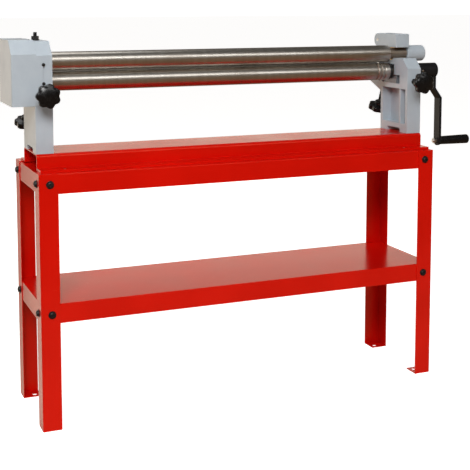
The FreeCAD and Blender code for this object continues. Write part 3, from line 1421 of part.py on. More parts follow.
def crank():
    """Hub tube, joggled flat arm, cross pin, and the grip on its spindle."""
    centre = (0, size.roll_y, lower_axis_z)
    radius = size.hub_d / 2
    bore = size.hub_bore_d / 2 + size.running_clearance
    profile = [
        (hub_left, bore), (hub_left, radius), (hub_right, radius), (hub_right, 0),
        (hub_right - size.hub_floor, 0), (hub_right - size.hub_floor, bore),
    ]
    hub = turned("crank_hub", profile, centre)
    hole = rod("crank_hub_pin_hole", "Y", (hub_pin_x, size.roll_y - size.hub_d, lower_axis_z),
               2 * size.hub_d, size.hub_pin_d / 2 + size.running_clearance)
    keep("crank_hub", cut("crank_hub_drilled", hub, hole))
    keep("crank_pin", rod("crank_pin_rod", "Y", (hub_pin_x, size.roll_y - radius, lower_axis_z),
                          size.hub_d, size.hub_pin_d / 2))

    foot = grip_axis_z - size.arm_width / 2
    thick = size.arm_thickness
    outline = [
        (arm_near, lower_axis_z), (arm_near + thick, lower_axis_z),
        (arm_near + thick, lower_axis_z - size.jog_top), (arm_far + thick, lower_axis_z - size.jog_bottom),
        (arm_far + thick, foot), (arm_far, foot), (arm_far, lower_axis_z - size.jog_bottom - thick / 4),
        (arm_near, lower_axis_z - size.jog_top - thick / 4),
    ]
    arm = new_body("crank_arm")
    half = size.arm_width / 2
    pad(arm, "XZ", size.roll_y - half, size.roll_y + half, lambda sketch: draw_outline(sketch, outline))
    foot_corners = [(0, size.roll_y + row * half, foot) for row in (-1, 1)]
    round_edges(arm, X_AXIS, foot_corners, half - size.running_clearance)
    pocket(arm, "YZ", arm_far, arm_far + thick,
           lambda sketch: draw_circle(sketch, (size.roll_y, grip_axis_z),
                                      size.spindle_d / 2 + size.running_clearance))
    saddle = rod("crank_arm_saddle", "X", (hub_left, size.roll_y, lower_axis_z), size.hub_length + PAST,
                 radius)
    keep("crank_arm", cut("crank_arm_cut", arm, saddle))
    grip()


def grip():
    """Spindle through the arm with a nut behind it, and the loose grip that turns on it."""
    thick = size.arm_thickness
    grip_left = arm_far + thick + size.grip_play
    grip_right = grip_left + size.grip_length
    recess = size.grip_recess
    spindle = size.spindle_d / 2
    centre = (0, size.roll_y, grip_axis_z)
    head_left = grip_right - recess + size.grip_play
    stations = [
        (arm_far - size.grip_nut - size.spindle_end, spindle), (head_left, spindle),
        (head_left, size.spindle_head_d / 2), (head_left + size.spindle_head, size.spindle_head_d / 2),
    ]
    keep("grip_spindle", turned("grip_spindle", shaft_profile(stations), centre))
    nut = hexagon("grip_nut_hexagon", "X", (arm_far - size.grip_nut, size.roll_y, grip_axis_z),
                  size.grip_nut, size.grip_nut_d / 2)
    hole = rod("grip_nut_hole", "X", (arm_far - size.grip_nut - PAST, size.roll_y, grip_axis_z),
               size.grip_nut + 2 * PAST, spindle + size.running_clearance)
    keep("grip_nut", cut("grip_nut_bored", nut, hole))
    bore = spindle + size.grip_play
    mouth = size.spindle_head_d / 2 + size.grip_play
    profile = [
        (grip_left, bore), (grip_left, size.grip_inner_d / 2),
        (grip_right - size.grip_round, size.grip_outer_d / 2),
        (grip_right, size.grip_outer_d / 2 - size.grip_round),
        (grip_right, mouth), (grip_right - recess, mouth), (grip_right - recess, bore),
    ]
    keep("crank_grip", turned("crank_grip", profile, centre))


# ---------------------------------------------------------------------------------------------------
# Assembly, checks and export
# ---------------------------------------------------------------------------------------------------

def build():
    for name, side, row in CORNERS:
        leg(name, side, row)
    foot_plates()
    top_rails()
    shelf()
    stand_fasteners()
    bed()
    bed_fasteners()
    left_housing()
    right_housing()
    gear_cover()
    cover_screws()
    bushes()
    set_screw()
    upper_roll()
    lower_roll()
    rear_roll()
    gear_train()
    for side in (-1, 1):
        lower_block(side)
        wedge(side)
        rear_bearing_block(side)
        front_screw(side)
        rear_screw(side)
    keeper()
    crank()


def check_and_export():
    doc.recompute()
    for item in doc.Objects:
        if "Invalid" in item.State or "Error" in item.State:
            raise RuntimeError(f"{item.Name} failed: {item.State}")
    for node, item in NODES.items():
        shape = item.Shape
        if shape.isNull() or not shape.isValid():
            raise RuntimeError(f"{node} has no valid shape")
    os.makedirs("parts", exist_ok=True)
    for node, item in NODES.items():
        item.Shape.exportStep(f"parts/{node}.step")
        print(f"{node}: {len(item.Shape.Solids)} solid(s), {item.Shape.Volume / 1000:.1f} cm3")


build()
check_and_export()
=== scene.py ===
"""Slip roll machine on its stand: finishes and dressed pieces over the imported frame.

Lengths are in metres. +X runs along the rolls to the crank, +Y to the rear, +Z up.
"""

import json
import math

import bmesh
import bpy
from mathutils import Matrix, Vector


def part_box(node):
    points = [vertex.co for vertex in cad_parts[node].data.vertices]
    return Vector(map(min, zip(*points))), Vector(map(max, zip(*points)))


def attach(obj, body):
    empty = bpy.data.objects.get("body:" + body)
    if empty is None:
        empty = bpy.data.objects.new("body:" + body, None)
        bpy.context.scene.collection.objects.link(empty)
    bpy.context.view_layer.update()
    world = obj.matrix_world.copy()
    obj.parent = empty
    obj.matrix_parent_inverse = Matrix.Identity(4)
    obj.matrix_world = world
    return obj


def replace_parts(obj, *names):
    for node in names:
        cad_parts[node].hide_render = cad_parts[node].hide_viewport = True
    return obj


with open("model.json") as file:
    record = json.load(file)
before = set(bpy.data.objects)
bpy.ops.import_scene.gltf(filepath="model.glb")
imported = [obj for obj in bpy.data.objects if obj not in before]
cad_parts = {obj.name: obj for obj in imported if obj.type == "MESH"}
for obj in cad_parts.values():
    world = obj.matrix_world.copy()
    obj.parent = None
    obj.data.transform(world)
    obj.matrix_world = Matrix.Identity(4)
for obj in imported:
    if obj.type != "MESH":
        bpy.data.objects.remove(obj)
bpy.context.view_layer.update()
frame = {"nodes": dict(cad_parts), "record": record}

MM = 0.001
X_AXIS, Y_AXIS, Z_AXIS = Vector((1, 0, 0)), Vector((0, 1, 0)), Vector((0, 0, 1))
BODY_OF = {node: body for body, nodes in frame["record"]["behaviour"]["bodies"].items() for node in nodes}
SLOT_OF = {row["node"]: row["material_slot"] for row in frame["record"]["subparts"]}


# ---------------------------------------------------------------------------------------------------
# Node trees written as expressions
# ---------------------------------------------------------------------------------------------------

class Wire:
    """An output socket. Arithmetic on it adds Math nodes to its tree."""

    def __init__(self, graph, socket):
        self.graph = graph
        self.socket = socket

    def output(self, name):
        """Another output of the same node."""
        return Wire(self.graph, self.socket.node.outputs[name])

    def math(self, operation, *others):
        """A Math node that takes this socket first and the other values after it."""
        return self.graph.math(operation, self, *others)

    def __add__(self, other):
        return self.math("ADD", other)

    def __radd__(self, other):
        return self.graph.math("ADD", other, self)

    def __sub__(self, other):
        return self.math("SUBTRACT", other)

    def __rsub__(self, other):
        return self.graph.math("SUBTRACT", other, self)

    def __mul__(self, other):
        return self.math("MULTIPLY", other)

    def __rmul__(self, other):
        return self.graph.math("MULTIPLY", other, self)

    def __truediv__(self, other):
        return self.math("DIVIDE", other)

    def __pow__(self, other):
        return self.math("POWER", other)

    def above(self, low, high):
        """Zero below low, one above high, and a smooth rise between. It falls where low is the larger."""
        sockets = {"Value": self, "From Min": low, "From Max": high}
        return self.graph.node("ShaderNodeMapRange", {"interpolation_type": "SMOOTHSTEP"}, sockets)


class Graph:
    """A node tree. One method makes every kind of node in it."""

    def __init__(self, tree):
        self.tree = tree
        tree.nodes.clear()

    def node(self, kind, settings=None, sockets=None, output=0):
        """A node with its settings, then the values or wires of its sockets; gives back one output."""
        made = self.tree.nodes.new(kind)
        for name, value in (settings or {}).items():
            if name == "stops":
                self.set_stops(made.color_ramp, value)
            else:
                setattr(made, name, value)
        for name, value in (sockets or {}).items():
            if isinstance(value, Wire):
                self.tree.links.new(value.socket, made.inputs[name])
            else:
                made.inputs[name].default_value = value
        return Wire(self, made.outputs[output]) if made.outputs else made

    def math(self, operation, *values):
        return self.node("ShaderNodeMath", {"operation": operation}, dict(enumerate(values)))

    def set_stops(self, ramp, stops):
        """Fills a colour ramp, which starts with two stops."""
        for position, colour in stops[2:]:
            ramp.elements.new(position)
        for element, (position, colour) in zip(ramp.elements, stops):
            element.position = position
            element.color = (*colour, 1)


# ---------------------------------------------------------------------------------------------------
# Finishes
# ---------------------------------------------------------------------------------------------------

MIX_SHARE, MIX_FIRST, MIX_SECOND, MIX_COLOUR = 0, 6, 7, 2      # a Mix node's sockets for colours


class Finish(Graph):
    """A material on Object coordinates, in metres."""

    def __init__(self, name):
        self.material = bpy.data.materials.new(name)
        self.material.use_nodes = True
        super().__init__(self.material.node_tree)
        self.place = self.node("ShaderNodeTexCoord", output="Object")
        self.edge = self.node("ShaderNodeAttribute", {"attribute_name": "edge"}, output="Fac")

    def noise(self, size, stretch=(1, 1, 1), detail=3, roughness=0.5):
        """Noise with features about size metres across, longer along the axes that stretch names."""
        scale = tuple(1 / (size * amount) for amount in stretch)
        at = self.node("ShaderNodeMapping", None, {"Vector": self.place, "Scale": scale})
        return self.node("ShaderNodeTexNoise", None,
                         {"Vector": at, "Scale": 1, "Detail": detail, "Roughness": roughness})

    def cells(self, size):
        """Distance from the middle of the nearest cell, in cells about size metres across."""
        sockets = {"Vector": self.place, "Scale": 1 / size}
        return self.node("ShaderNodeTexVoronoi", None, sockets, output="Distance")

    def mix(self, share, first, second):
        """Colour between first and second."""
        pair = {name: value if isinstance(value, Wire) else (*value, 1)
                for name, value in ((MIX_FIRST, first), (MIX_SECOND, second))}
        sockets = {MIX_SHARE: share, **pair}
        return self.node("ShaderNodeMix", {"data_type": "RGBA"}, sockets, output=MIX_COLOUR)

    def bump(self, height, depth, below=None):
        """A height from 0 to 1 as a normal, depth metres deep, over another bump."""
        sockets = {"Height": height, "Strength": 1, "Distance": depth}
        if below is not None:
            sockets["Normal"] = below
        return self.node("ShaderNodeBump", None, sockets)

    def done(self, colour, roughness, normal, **constants):
        """The finished material. Constants name the shader's sockets with _ for a space."""
        sockets = {"Base Color": colour, "Roughness": roughness, "Normal": normal}
        sockets.update({name.replace("_", " "): value for name, value in constants.items()})
        shader = self.node("ShaderNodeBsdfPrincipled", None, sockets)
        self.node("ShaderNodeOutputMaterial", None, {"Surface": shader})
        return self.material


def toned(colour, amount):
    """A colour made darker or paler by a factor."""
    return tuple(min(1, part * amount) for part in colour)


def powder_coat(name, colour, deep, thin, gloss):
    """Baked powder coat: slight orange peel, cloudy depth, paler edges from a thin film and a painted
    highlight, scuffs and specks.
    """
    paint = Finish(name)
    clouds = paint.noise(160 * MM, detail=2)
    peel = paint.noise(2.2 * MM, detail=1)
    dust = paint.cells(9 * MM).above(0.10, 0.02)
    scuffs = paint.noise(5 * MM, (9, 9, 1), 5, 0.7).above(0.66, 0.80) * paint.noise(90 * MM).above(0.52, 0.66)
    worn_and_highlight = paint.edge * paint.noise(6 * MM, detail=4).above(0.35, 0.62)
    body = paint.mix(clouds.above(0.3, 0.7), deep, colour)
    # Paler along the edges: thinner paint and a painted highlight.
    body = paint.mix(worn_and_highlight * 0.75, body, thin)
    body = paint.mix(scuffs * 0.2, body, thin)
    roughness = gloss + clouds * 0.10 + scuffs * 0.25 + dust * 0.08
    normal = paint.bump(peel, 0.05 * MM)
    normal = paint.bump(dust, 0.03 * MM, normal)
    return paint.done(paint.mix(dust * 0.04, body, thin), roughness, normal,
                      Specular_IOR_Level=0.38, Specular_Tint=(1, 0.85, 0.45, 1))


def cast_enamel(name, colour, shade, grain):
    """Satin enamel over sand-cast iron: the sand's grain and pits show, corners are paler from a worn film
    and a painted highlight.
    """
    enamel = Finish(name)
    sand = enamel.noise(1.6 * MM, detail=3, roughness=0.6)
    swell = enamel.noise(22 * MM, detail=2)
    grime = enamel.noise(60 * MM, (1, 1, 1.6), 4).above(0.55, 0.8)
    pits = enamel.cells(7 * MM).above(0.12, 0.03)
    worn_and_highlight = enamel.edge * enamel.noise(5 * MM, detail=4).above(0.42, 0.62)
    body = enamel.mix(swell.above(0.25, 0.75), shade, colour)
    body = enamel.mix(grime * 0.10, body, toned(colour, 0.72))
    # Paler corners: worn film and a painted highlight.
    body = enamel.mix(worn_and_highlight * 0.6, body, toned(colour, 1.28))
    roughness = 0.34 + sand * 0.14 + grime * 0.12
    normal = enamel.bump(swell, 0.30 * grain * MM)
    normal = enamel.bump(sand, 0.10 * grain * MM, normal)
    normal = enamel.bump(1 - pits, 0.06 * grain * MM, normal)
    return enamel.done(enamel.mix(pits * 0.25, body, shade), roughness, normal,
                       Coat_Weight=0.1, Coat_Roughness=0.3)


def ground_steel(name, bright, dull, film, sheen):
    """Ground roll: fine rings round X, small marks, and a warm film of oil; off the ground face the dark film
    is oil and painted shade.
    """
    steel = Finish(name)
    rings = steel.noise(0.6 * MM, (1, 400, 400), 4, 0.65)
    bands = steel.noise(14 * MM, (1, 60, 60), 3)
    oil = steel.noise(90 * MM, (2.5, 1, 1), 4).above(0.42, 0.70)
    marks = steel.noise(3 * MM, (1, 8, 8), 5, 0.75).above(0.70, 0.82)
    body = steel.mix(bands.above(0.3, 0.7), dull, bright)
    # Darker off the ground face, in the grooves and on the journals: oil film and painted shade.
    body = steel.mix(oil * 0.35 + steel.edge * 0.6, body, film)
    body = steel.mix(marks * 0.3, body, film)
    roughness = sheen + rings * 0.06 + oil * 0.05 + marks * 0.10 + steel.edge * 0.2
    return steel.done(body, roughness, steel.bump(rings, 0.0007 * MM), Metallic=1)


def machined_steel(name, colour, sheen):
    """Milled and turned steel: short tool marks, stains, edges rubbed bright."""
    steel = Finish(name)
    cuts = steel.noise(0.6 * MM, (1, 12, 12), 3, 0.6)
    stain = steel.noise(12 * MM, detail=4).above(0.45, 0.72)
    body = steel.mix(stain * 0.5, colour, toned(colour, 0.6))
    body = steel.mix(steel.edge * 0.6, body, toned(colour, 1.3))
    roughness = sheen + cuts * 0.14 + stain * 0.12
    return steel.done(body, roughness, steel.bump(cuts, 0.02 * MM), Metallic=1)


def black_oxide(name):
    """Blackened fasteners: brown-black film, rubbed to steel on the corners."""
    film = Finish(name)
    mottle = film.noise(3 * MM, detail=4)
    rubbed = film.edge * film.noise(2 * MM, detail=3).above(0.50, 0.70)
    body = film.mix(mottle.above(0.35, 0.7), (0.008, 0.008, 0.009), (0.018, 0.015, 0.013))
    body = film.mix(rubbed, body, (0.20, 0.18, 0.16))
    normal = film.bump(film.noise(0.5 * MM), 0.02 * MM)
    return film.done(body, 0.34 + mottle * 0.18, normal, Metallic=0.2)


def black_enamel(name):
    """Gloss black paint on the crank: orange peel, faint haze, grey steel where the edges chip."""
    paint = Finish(name)
    peel = paint.noise(2.5 * MM, detail=2)
    haze = paint.noise(35 * MM, detail=3)
    chips = paint.edge * paint.noise(2.5 * MM, detail=5).above(0.56, 0.64)
    body = paint.mix(haze.above(0.3, 0.7), (0.009, 0.009, 0.010), (0.018, 0.017, 0.017))
    body = paint.mix(chips, body, (0.22, 0.21, 0.20))
    normal = paint.bump(peel, 0.06 * MM)
    return paint.done(body, 0.24 + haze * 0.14 + chips * 0.2, normal, Specular_IOR_Level=0.15)


def moulded_plastic(name):
    """Glossy black moulded plastic with a trace of flow lines and handling haze."""
    plastic = Finish(name)
    flow = plastic.noise(9 * MM, (1, 3, 1), 3)
    haze = plastic.noise(14 * MM, detail=4).above(0.45, 0.7)
    speck = plastic.noise(0.45 * MM, detail=1)
    body = plastic.mix(flow.above(0.3, 0.7), (0.0030, 0.0030, 0.0033), (0.0065, 0.0065, 0.0070))
    roughness = 0.20 + haze * 0.10 + speck * 0.04
    normal = plastic.bump(flow, 0.04 * MM)
    return plastic.done(body, roughness, plastic.bump(speck, 0.003 * MM, normal), Specular_IOR_Level=0.36)


def bearing_bronze(name):
    """Turned bronze, darkened by oil."""
    bronze = Finish(name)
    rings = bronze.noise(0.5 * MM, (1, 30, 30), 3)
    oil = bronze.noise(10 * MM, detail=4).above(0.4, 0.7)
    body = bronze.mix(oil * 0.7, (0.55, 0.36, 0.17), (0.25, 0.15, 0.07))
    return bronze.done(body, 0.26 + rings * 0.16, bronze.bump(rings, 0.02 * MM), Metallic=1)


GREY, GREY_SHADE = (0.46, 0.52, 0.57), (0.435, 0.495, 0.55)
FINISHES = {
    "red_paint": powder_coat("signal_red_powder_coat", colour=(0.67, 0.0035, 0.001),
                             deep=(0.61, 0.003, 0.0008), thin=(0.84, 0.10, 0.045), gloss=0.18),
    "grey_casting": cast_enamel("grey_enamel_on_castings", GREY, GREY_SHADE, grain=1.0),
    "grey_sheet": cast_enamel("grey_enamel_on_cover", GREY, GREY_SHADE, grain=0.25),
    "ground_steel": ground_steel("ground_roll_steel", bright=(0.60, 0.57, 0.52),
                                 dull=(0.54, 0.51, 0.46), film=(0.26, 0.20, 0.15), sheen=0.28),
    "bright_steel": machined_steel("machined_bright_steel", (0.58, 0.57, 0.55), sheen=0.22),
    "black_steel": black_oxide("black_oxide_steel"),
    "black_paint": black_enamel("black_gloss_enamel"),
    "black_plastic": moulded_plastic("black_moulded_plastic"),
    "bronze": bearing_bronze("bearing_bronze"),
}
# The rear roll's steel is made dark as painted shade: it stands for the dark line between the rolls.
REAR_STEEL_DARKENED_AS_SHADE = ground_steel("oiled_rear_roll_steel", bright=(0.22, 0.20, 0.175),
                           dull=(0.18, 0.165, 0.145), film=(0.10, 0.08, 0.06), sheen=0.5)
DULL_STEEL = machined_steel("dull_wedge_steel", (0.36, 0.38, 0.41), sheen=0.58)


# ---------------------------------------------------------------------------------------------------
# Making pieces
# ---------------------------------------------------------------------------------------------------

def smooth(mesh, angle=40):
    """Smooth shading, with a sharp edge wherever two faces meet at more than an angle in degrees."""
    mesh.shade_smooth()
    mesh.set_sharp_from_angle(angle=math.radians(angle))


def piece(name, mesh, slot, body, finish):
    """A finished piece: it rides on a body and has a finish. The slot argument is not used."""
    made = bpy.data.objects.new(name, mesh)
    bpy.context.scene.collection.objects.link(made)
    mesh.materials.clear()
    mesh.materials.append(finish)
    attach(made, body)
    return made


def dressed(name, mesh, node, finish=None):
    """A piece that stands for a node and takes its body and, as a rule, the finish of its slot."""
    slot = SLOT_OF[node]
    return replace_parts(piece(name, mesh, slot, BODY_OF[node], finish or FINISHES[slot]), node)


SAME_POINT, SAME_PLANE = 0.005 * MM, math.radians(0.5)
EASE_STEPS, EASE_ABOVE = 2, math.radians(28)


def eased(node, radius, finish=None):
    """A node's solid with its sharp edges rounded. The attribute 'edge' is 1 in the rounded strips."""
    mesh = frame["nodes"][node].data.copy()
    mesh.name = node + "_eased"
    work = bmesh.new()
    work.from_mesh(mesh)
    bmesh.ops.remove_doubles(work, verts=work.verts, dist=SAME_POINT)
    bmesh.ops.dissolve_limit(work, angle_limit=SAME_PLANE, verts=work.verts, edges=work.edges)
    corners = [edge for edge in work.edges
               if edge.is_manifold and edge.calc_face_angle(0) > EASE_ABOVE]
    strips = set(bmesh.ops.bevel(work, geom=corners, offset=radius, offset_type="OFFSET", segments=EASE_STEPS,
                                 profile=0.5, affect="EDGES", clamp_overlap=True)["faces"])
    mark = work.verts.layers.float.new("edge")
    for vert in work.verts:
        vert[mark] = 1.0 if all(face in strips for face in vert.link_faces) else 0.0
    work.to_mesh(mesh)
    work.free()
    smooth(mesh)
    made = dressed(node + "_eased", mesh, node, finish)
    even = made.modifiers.new("even_normals", "WEIGHTED_NORMAL")
    even.keep_sharp = True
    return made


def round_bar(angle):
    """The outline of a round section: the same radius all round."""
    return 1.0


def hexagon(angle):
    """The outline of a hexagon whose corners lie on the circle."""
    sixth = math.pi / 3
    return math.cos(sixth / 2) / math.cos((angle % sixth) - sixth / 2)


def loft(outline, around=64):
    """A closed mesh along local X: outline lists (distance along X, radius, optional shape)."""
    work = bmesh.new()
    turns = [2 * math.pi * step / around for step in range(around)]
    rows = []
    for run, radius, *own in outline:
        section = own[0] if own else round_bar
        if radius == 0:
            rows.append([work.verts.new((run, 0, 0))])
        else:
            rows.append([work.verts.new((run, radius * section(turn) * math.cos(turn),
                                         radius * section(turn) * math.sin(turn))) for turn in turns])
    for low, high in zip(rows, rows[1:]):
        for step in range(around):
            after = (step + 1) % around
            if len(low) == 1:
                work.faces.new((low[0], high[step], high[after]))
            elif len(high) == 1:
                work.faces.new((low[step], high[0], low[after]))
            else:
                work.faces.new((low[step], high[step], high[after], low[after]))
    if len(rows[0]) > 1:
        for step in range(around):
            after = (step + 1) % around
            work.faces.new((rows[-1][step], rows[0][step], rows[0][after], rows[-1][after]))
    bmesh.ops.recalc_face_normals(work, faces=work.faces)
    mesh = bpy.data.meshes.new("loft")
    work.to_mesh(mesh)
    work.free()
    smooth(mesh)
    return mesh


def chamfered(outline, cut):
    """The outline with every corner but its first and last cut off, as far back along both sides."""
    points = [Vector(row[:2]) for row in outline]
    result = [tuple(points[0])]
    for before, here, after in zip(points, points[1:], points[2:]):
        for other in (before, after):
            reach = min(cut, (other - here).length * 0.4)
            result.append(tuple(here + (other - here).normalized() * reach))
    return result + [tuple(points[-1])]


def along(direction, centre, spin=0.0):
    """The matrix that lays local X along a direction through a centre."""
    turn = X_AXIS.rotation_difference(Vector(direction)).to_matrix().to_4x4()
    return Matrix.Translation(centre) @ turn @ Matrix.Rotation(spin, 4, X_AXIS)


def placed(mesh, matrix):
    """A mesh with its place on the machine put into its points."""
    mesh.transform(matrix)
    return mesh


# ---------------------------------------------------------------------------------------------------
# Geometry recipes
# ---------------------------------------------------------------------------------------------------

SOCKET_KINDS = {int: "NodeSocketInt", float: "NodeSocketFloat", bpy.types.Object: "NodeSocketObject",
                bpy.types.Material: "NodeSocketMaterial"}


class Recipe(Graph):
    """A geometry tree with named inputs, used on a blank mesh."""

    def __init__(self, name, **inputs):
        tree = bpy.data.node_groups.new(name, "GeometryNodeTree")
        super().__init__(tree)
        tree.interface.new_socket("Geometry", in_out="INPUT", socket_type="NodeSocketGeometry")
        tree.interface.new_socket("Geometry", in_out="OUTPUT", socket_type="NodeSocketGeometry")
        for title, kind in inputs.items():
            tree.interface.new_socket(title, in_out="INPUT", socket_type=SOCKET_KINDS[kind])
        self.inlet = self.node("NodeGroupInput")

    def amount(self, title):
        """The input with a title."""
        return self.inlet.output(title)

    def moved(self, factor):
        """The blank with every point's distance from the X axis multiplied by a factor."""
        place = self.node("GeometryNodeInputPosition")
        parts = self.node("ShaderNodeSeparateXYZ", None, {"Vector": place})
        spot = self.node("ShaderNodeCombineXYZ", None, {
            "X": parts.output("X"), "Y": parts.output("Y") * factor, "Z": parts.output("Z") * factor})
        return self.node("GeometryNodeSetPosition", None, {"Geometry": self.inlet, "Position": spot})

    def polar(self):
        """Distance along X, distance from X and angle round X of each point."""
        place = self.node("GeometryNodeInputPosition")
        parts = self.node("ShaderNodeSeparateXYZ", None, {"Vector": place})
        y, z = parts.output("Y"), parts.output("Z")
        radius = (y * y + z * z) ** 0.5
        return parts.output("X"), radius, z.math("ARCTAN2", y)

    def close(self, geometry):
        """Real meshes with the finish on them, as the tree's result."""
        real = self.node("GeometryNodeRealizeInstances", None, {"Geometry": geometry})
        coated = self.node("GeometryNodeSetMaterial", None,
                           {"Geometry": real, "Material": self.amount("Finish")})
        self.node("NodeGroupOutput", None, {"Geometry": coated})
        return self

    def mesh(self, name, blank, **amounts):
        """The recipe carried out on a blank, as a plain mesh."""
        carrier = bpy.data.objects.new(name, blank)
        bpy.context.scene.collection.objects.link(carrier)
        modifier = carrier.modifiers.new(name, "NODES")
        modifier.node_group = self.tree
        for item in self.tree.interface.items_tree:
            if item.in_out == "INPUT" and item.name in amounts:
                modifier[item.identifier] = amounts[item.name]
        graph = bpy.context.evaluated_depsgraph_get()
        result = bpy.data.meshes.new_from_object(carrier.evaluated_get(graph))
        carrier.modifiers.remove(modifier)
        bpy.data.objects.remove(carrier)
        smooth(result)
        return result


THREAD_MARGIN, NEAR_AXIS = 0.1 * MM, 0.01 * MM
HOLLOW_SHARPNESS, HEAD_FADE = 1.35, 0.5 * MM


def thread_recipe():
    """Cuts a V thread into a finely ringed bar from Start to End along X, where it is as thin as Bar."""
    recipe = Recipe("cut_thread", Pitch=float, Depth=float, Bar=float, Start=float, End=float,
                    Finish=bpy.types.Material)
    run, radius, turn = recipe.polar()
    pitch, depth = recipe.amount("Pitch"), recipe.amount("Depth")
    start, end = recipe.amount("Start"), recipe.amount("End")
    lead = run / pitch - turn / (2 * math.pi)
    flank = lead.math("PINGPONG", 0.5) * 2
    inside = run.above(start, start + pitch) * (1 - run.above(end - pitch, end))
    skin = (radius.math("GREATER_THAN", depth * 2)
            * radius.math("LESS_THAN", recipe.amount("Bar") + THREAD_MARGIN))
    factor = 1 - flank * inside * skin * depth / radius.math("MAXIMUM", NEAR_AXIS)
    return recipe.close(recipe.moved(factor))


def lobe_recipe():
    """Presses hollows between the lobes of a domed star knob; its middle stays round."""
    recipe = Recipe("press_lobes", Lobes=int, Hollow=float, Core=float, Rim=float, Head=float,
                    Finish=bpy.types.Material)
    run, radius, turn = recipe.polar()
    core, rim, head_end = recipe.amount("Core"), recipe.amount("Rim"), recipe.amount("Head")
    wave = (turn * recipe.amount("Lobes")).math("COSINE")
    hollow = ((wave + 1) * 0.5) ** HOLLOW_SHARPNESS
    reach = ((radius - core) / (rim - core)).math("MAXIMUM", 0)
    head = 1 - run.above(head_end, head_end + HEAD_FADE)
    factor = 1 - hollow * reach * head * recipe.amount("Hollow") / rim
    return recipe.close(recipe.moved(factor))


def fastener_recipe():
    """Sets a copy of a fastener on every point, its X axis along the point's 'out' direction."""
    recipe = Recipe("set_fasteners", Fastener=bpy.types.Object, Finish=bpy.types.Material)
    pattern = {"Object": recipe.amount("Fastener")}
    shape = recipe.node("GeometryNodeObjectInfo", None, pattern, output="Geometry")
    out = recipe.node("GeometryNodeInputNamedAttribute", {"data_type": "FLOAT_VECTOR"}, {"Name": "out"})
    turn = recipe.node("FunctionNodeAlignRotationToVector", {"axis": "X"}, {"Vector": out})
    seated = {"Points": recipe.inlet, "Instance": shape, "Rotation": turn}
    return recipe.close(recipe.node("GeometryNodeInstanceOnPoints", None, seated))


THREAD, LOBES, SET_FASTENERS = thread_recipe(), lobe_recipe(), fastener_recipe()


# ---------------------------------------------------------------------------------------------------
# Sizes that the dressed pieces share with the frame
# ---------------------------------------------------------------------------------------------------

def lowest(node):
    """The low corner of a node's box."""
    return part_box(node)[0]


def highest(node):
    """The high corner of a node's box."""
    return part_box(node)[1]


def middle(node):
    """The centre of a node's box."""
    return (lowest(node) + highest(node)) / 2


ROLL_R = (highest("upper_roll").z - lowest("upper_roll").z) / 2
UPPER_AXIS = middle("upper_roll")
LOWER_AXIS = middle("lower_roll")
REAR_AXIS = middle("rear_roll")


# ---------------------------------------------------------------------------------------------------
# Sheet metal and castings
# ---------------------------------------------------------------------------------------------------

SMALL_EDGE, PLATE_EDGE, COVER_EDGE, SHEET_EDGE = 0.5 * MM, 0.7 * MM, 0.9 * MM, 1.1 * MM
FOLD_EDGE, CAST_EDGE = 1.6 * MM, 2.2 * MM
EASED_BY = [
    (SMALL_EDGE, ["foot_plates", "stand_nuts", "gear_cover_screws", "keeper_pin", "upper_left_bush",
                  "upper_right_bush", "keeper_pad"]),
    (PLATE_EDGE, ["crank_arm", "grip_nut", "grip_spindle", "set_screw_locknut", "set_screw_washer",
                  "crank_pin", "lower_thrust_collars", "lower_left_block", "lower_right_block",
                  "rear_left_block", "rear_right_block", "bed_bolts", "housing_bolts"]),
    (SHEET_EDGE, ["front_left_leg", "front_right_leg", "rear_left_leg", "rear_right_leg", "front_top_rail",
                  "rear_top_rail", "left_top_rail", "right_top_rail", "shelf"]),
    (COVER_EDGE, ["gear_cover"]),
    (FOLD_EDGE, ["bed", "crank_hub"]),
    (CAST_EDGE, ["left_housing", "right_housing", "keeper", "roll_end_cap"]),
]
for radius, nodes in EASED_BY:
    for node in nodes:
        eased(node, radius)
for node in ("left_wedge", "right_wedge"):
    eased(node, PLATE_EDGE, DULL_STEEL)


# ---------------------------------------------------------------------------------------------------
# Rolls
# ---------------------------------------------------------------------------------------------------

GROOVE_INSET, GROOVE_PITCH, GROOVE_ARC_STEPS = 16 * MM, 12 * MM, 8
GROOVE_RADII = (4 * MM, 3 * MM, 2 * MM)
GROOVE_SINK = 0.5           # a groove's depth as a share of its radius
ROLL_CHAMFER, ROLL_SIDES = 0.8 * MM, 128
COLLAR_WIDTH, JOURNAL_PROUD, CAP_GAP = 8 * MM, 1.5 * MM, 1 * MM


def wire_grooves(right_end):
    """The outline of the wire grooves in the face of a roll, the largest on the left, each a flat arc."""
    for number, radius in enumerate(GROOVE_RADII):
        x = right_end - GROOVE_INSET - (len(GROOVE_RADII) - 1 - number) * GROOVE_PITCH
        for step in range(GROOVE_ARC_STEPS + 1):
            turn = math.pi * step / GROOVE_ARC_STEPS
            yield x - radius * math.cos(turn), ROLL_R - GROOVE_SINK * radius * math.sin(turn)


def roll(name, node, stations, centre, grooves=False, finish=None):
    """A ground roll from its stations (x, radius). The attribute 'edge' is 1 off the ground face."""
    outline = chamfered([(stations[0][0], 0)] + stations + [(stations[-1][0], 0)], ROLL_CHAMFER)
    if grooves:
        last = max(number for number, (x, radius) in enumerate(outline) if radius > 0.99 * ROLL_R)
        right_end = max(x for x, radius in stations if radius == ROLL_R)
        outline = outline[:last] + list(wire_grooves(right_end)) + outline[last:]
    mesh = loft(outline, ROLL_SIDES)
    mesh.name = name
    # The finish darkens where this mark is 1: oil film and painted shade.
    mark = mesh.attributes.new("edge", "FLOAT", "POINT")
    for vert in mesh.vertices:
        off_face = math.hypot(vert.co.y, vert.co.z) < ROLL_R - ROLL_CHAMFER - 0.02 * MM
        mark.data[vert.index].value = float(off_face)
    return dressed(name, placed(mesh, Matrix.Translation((0, centre.y, centre.z))), node, finish)


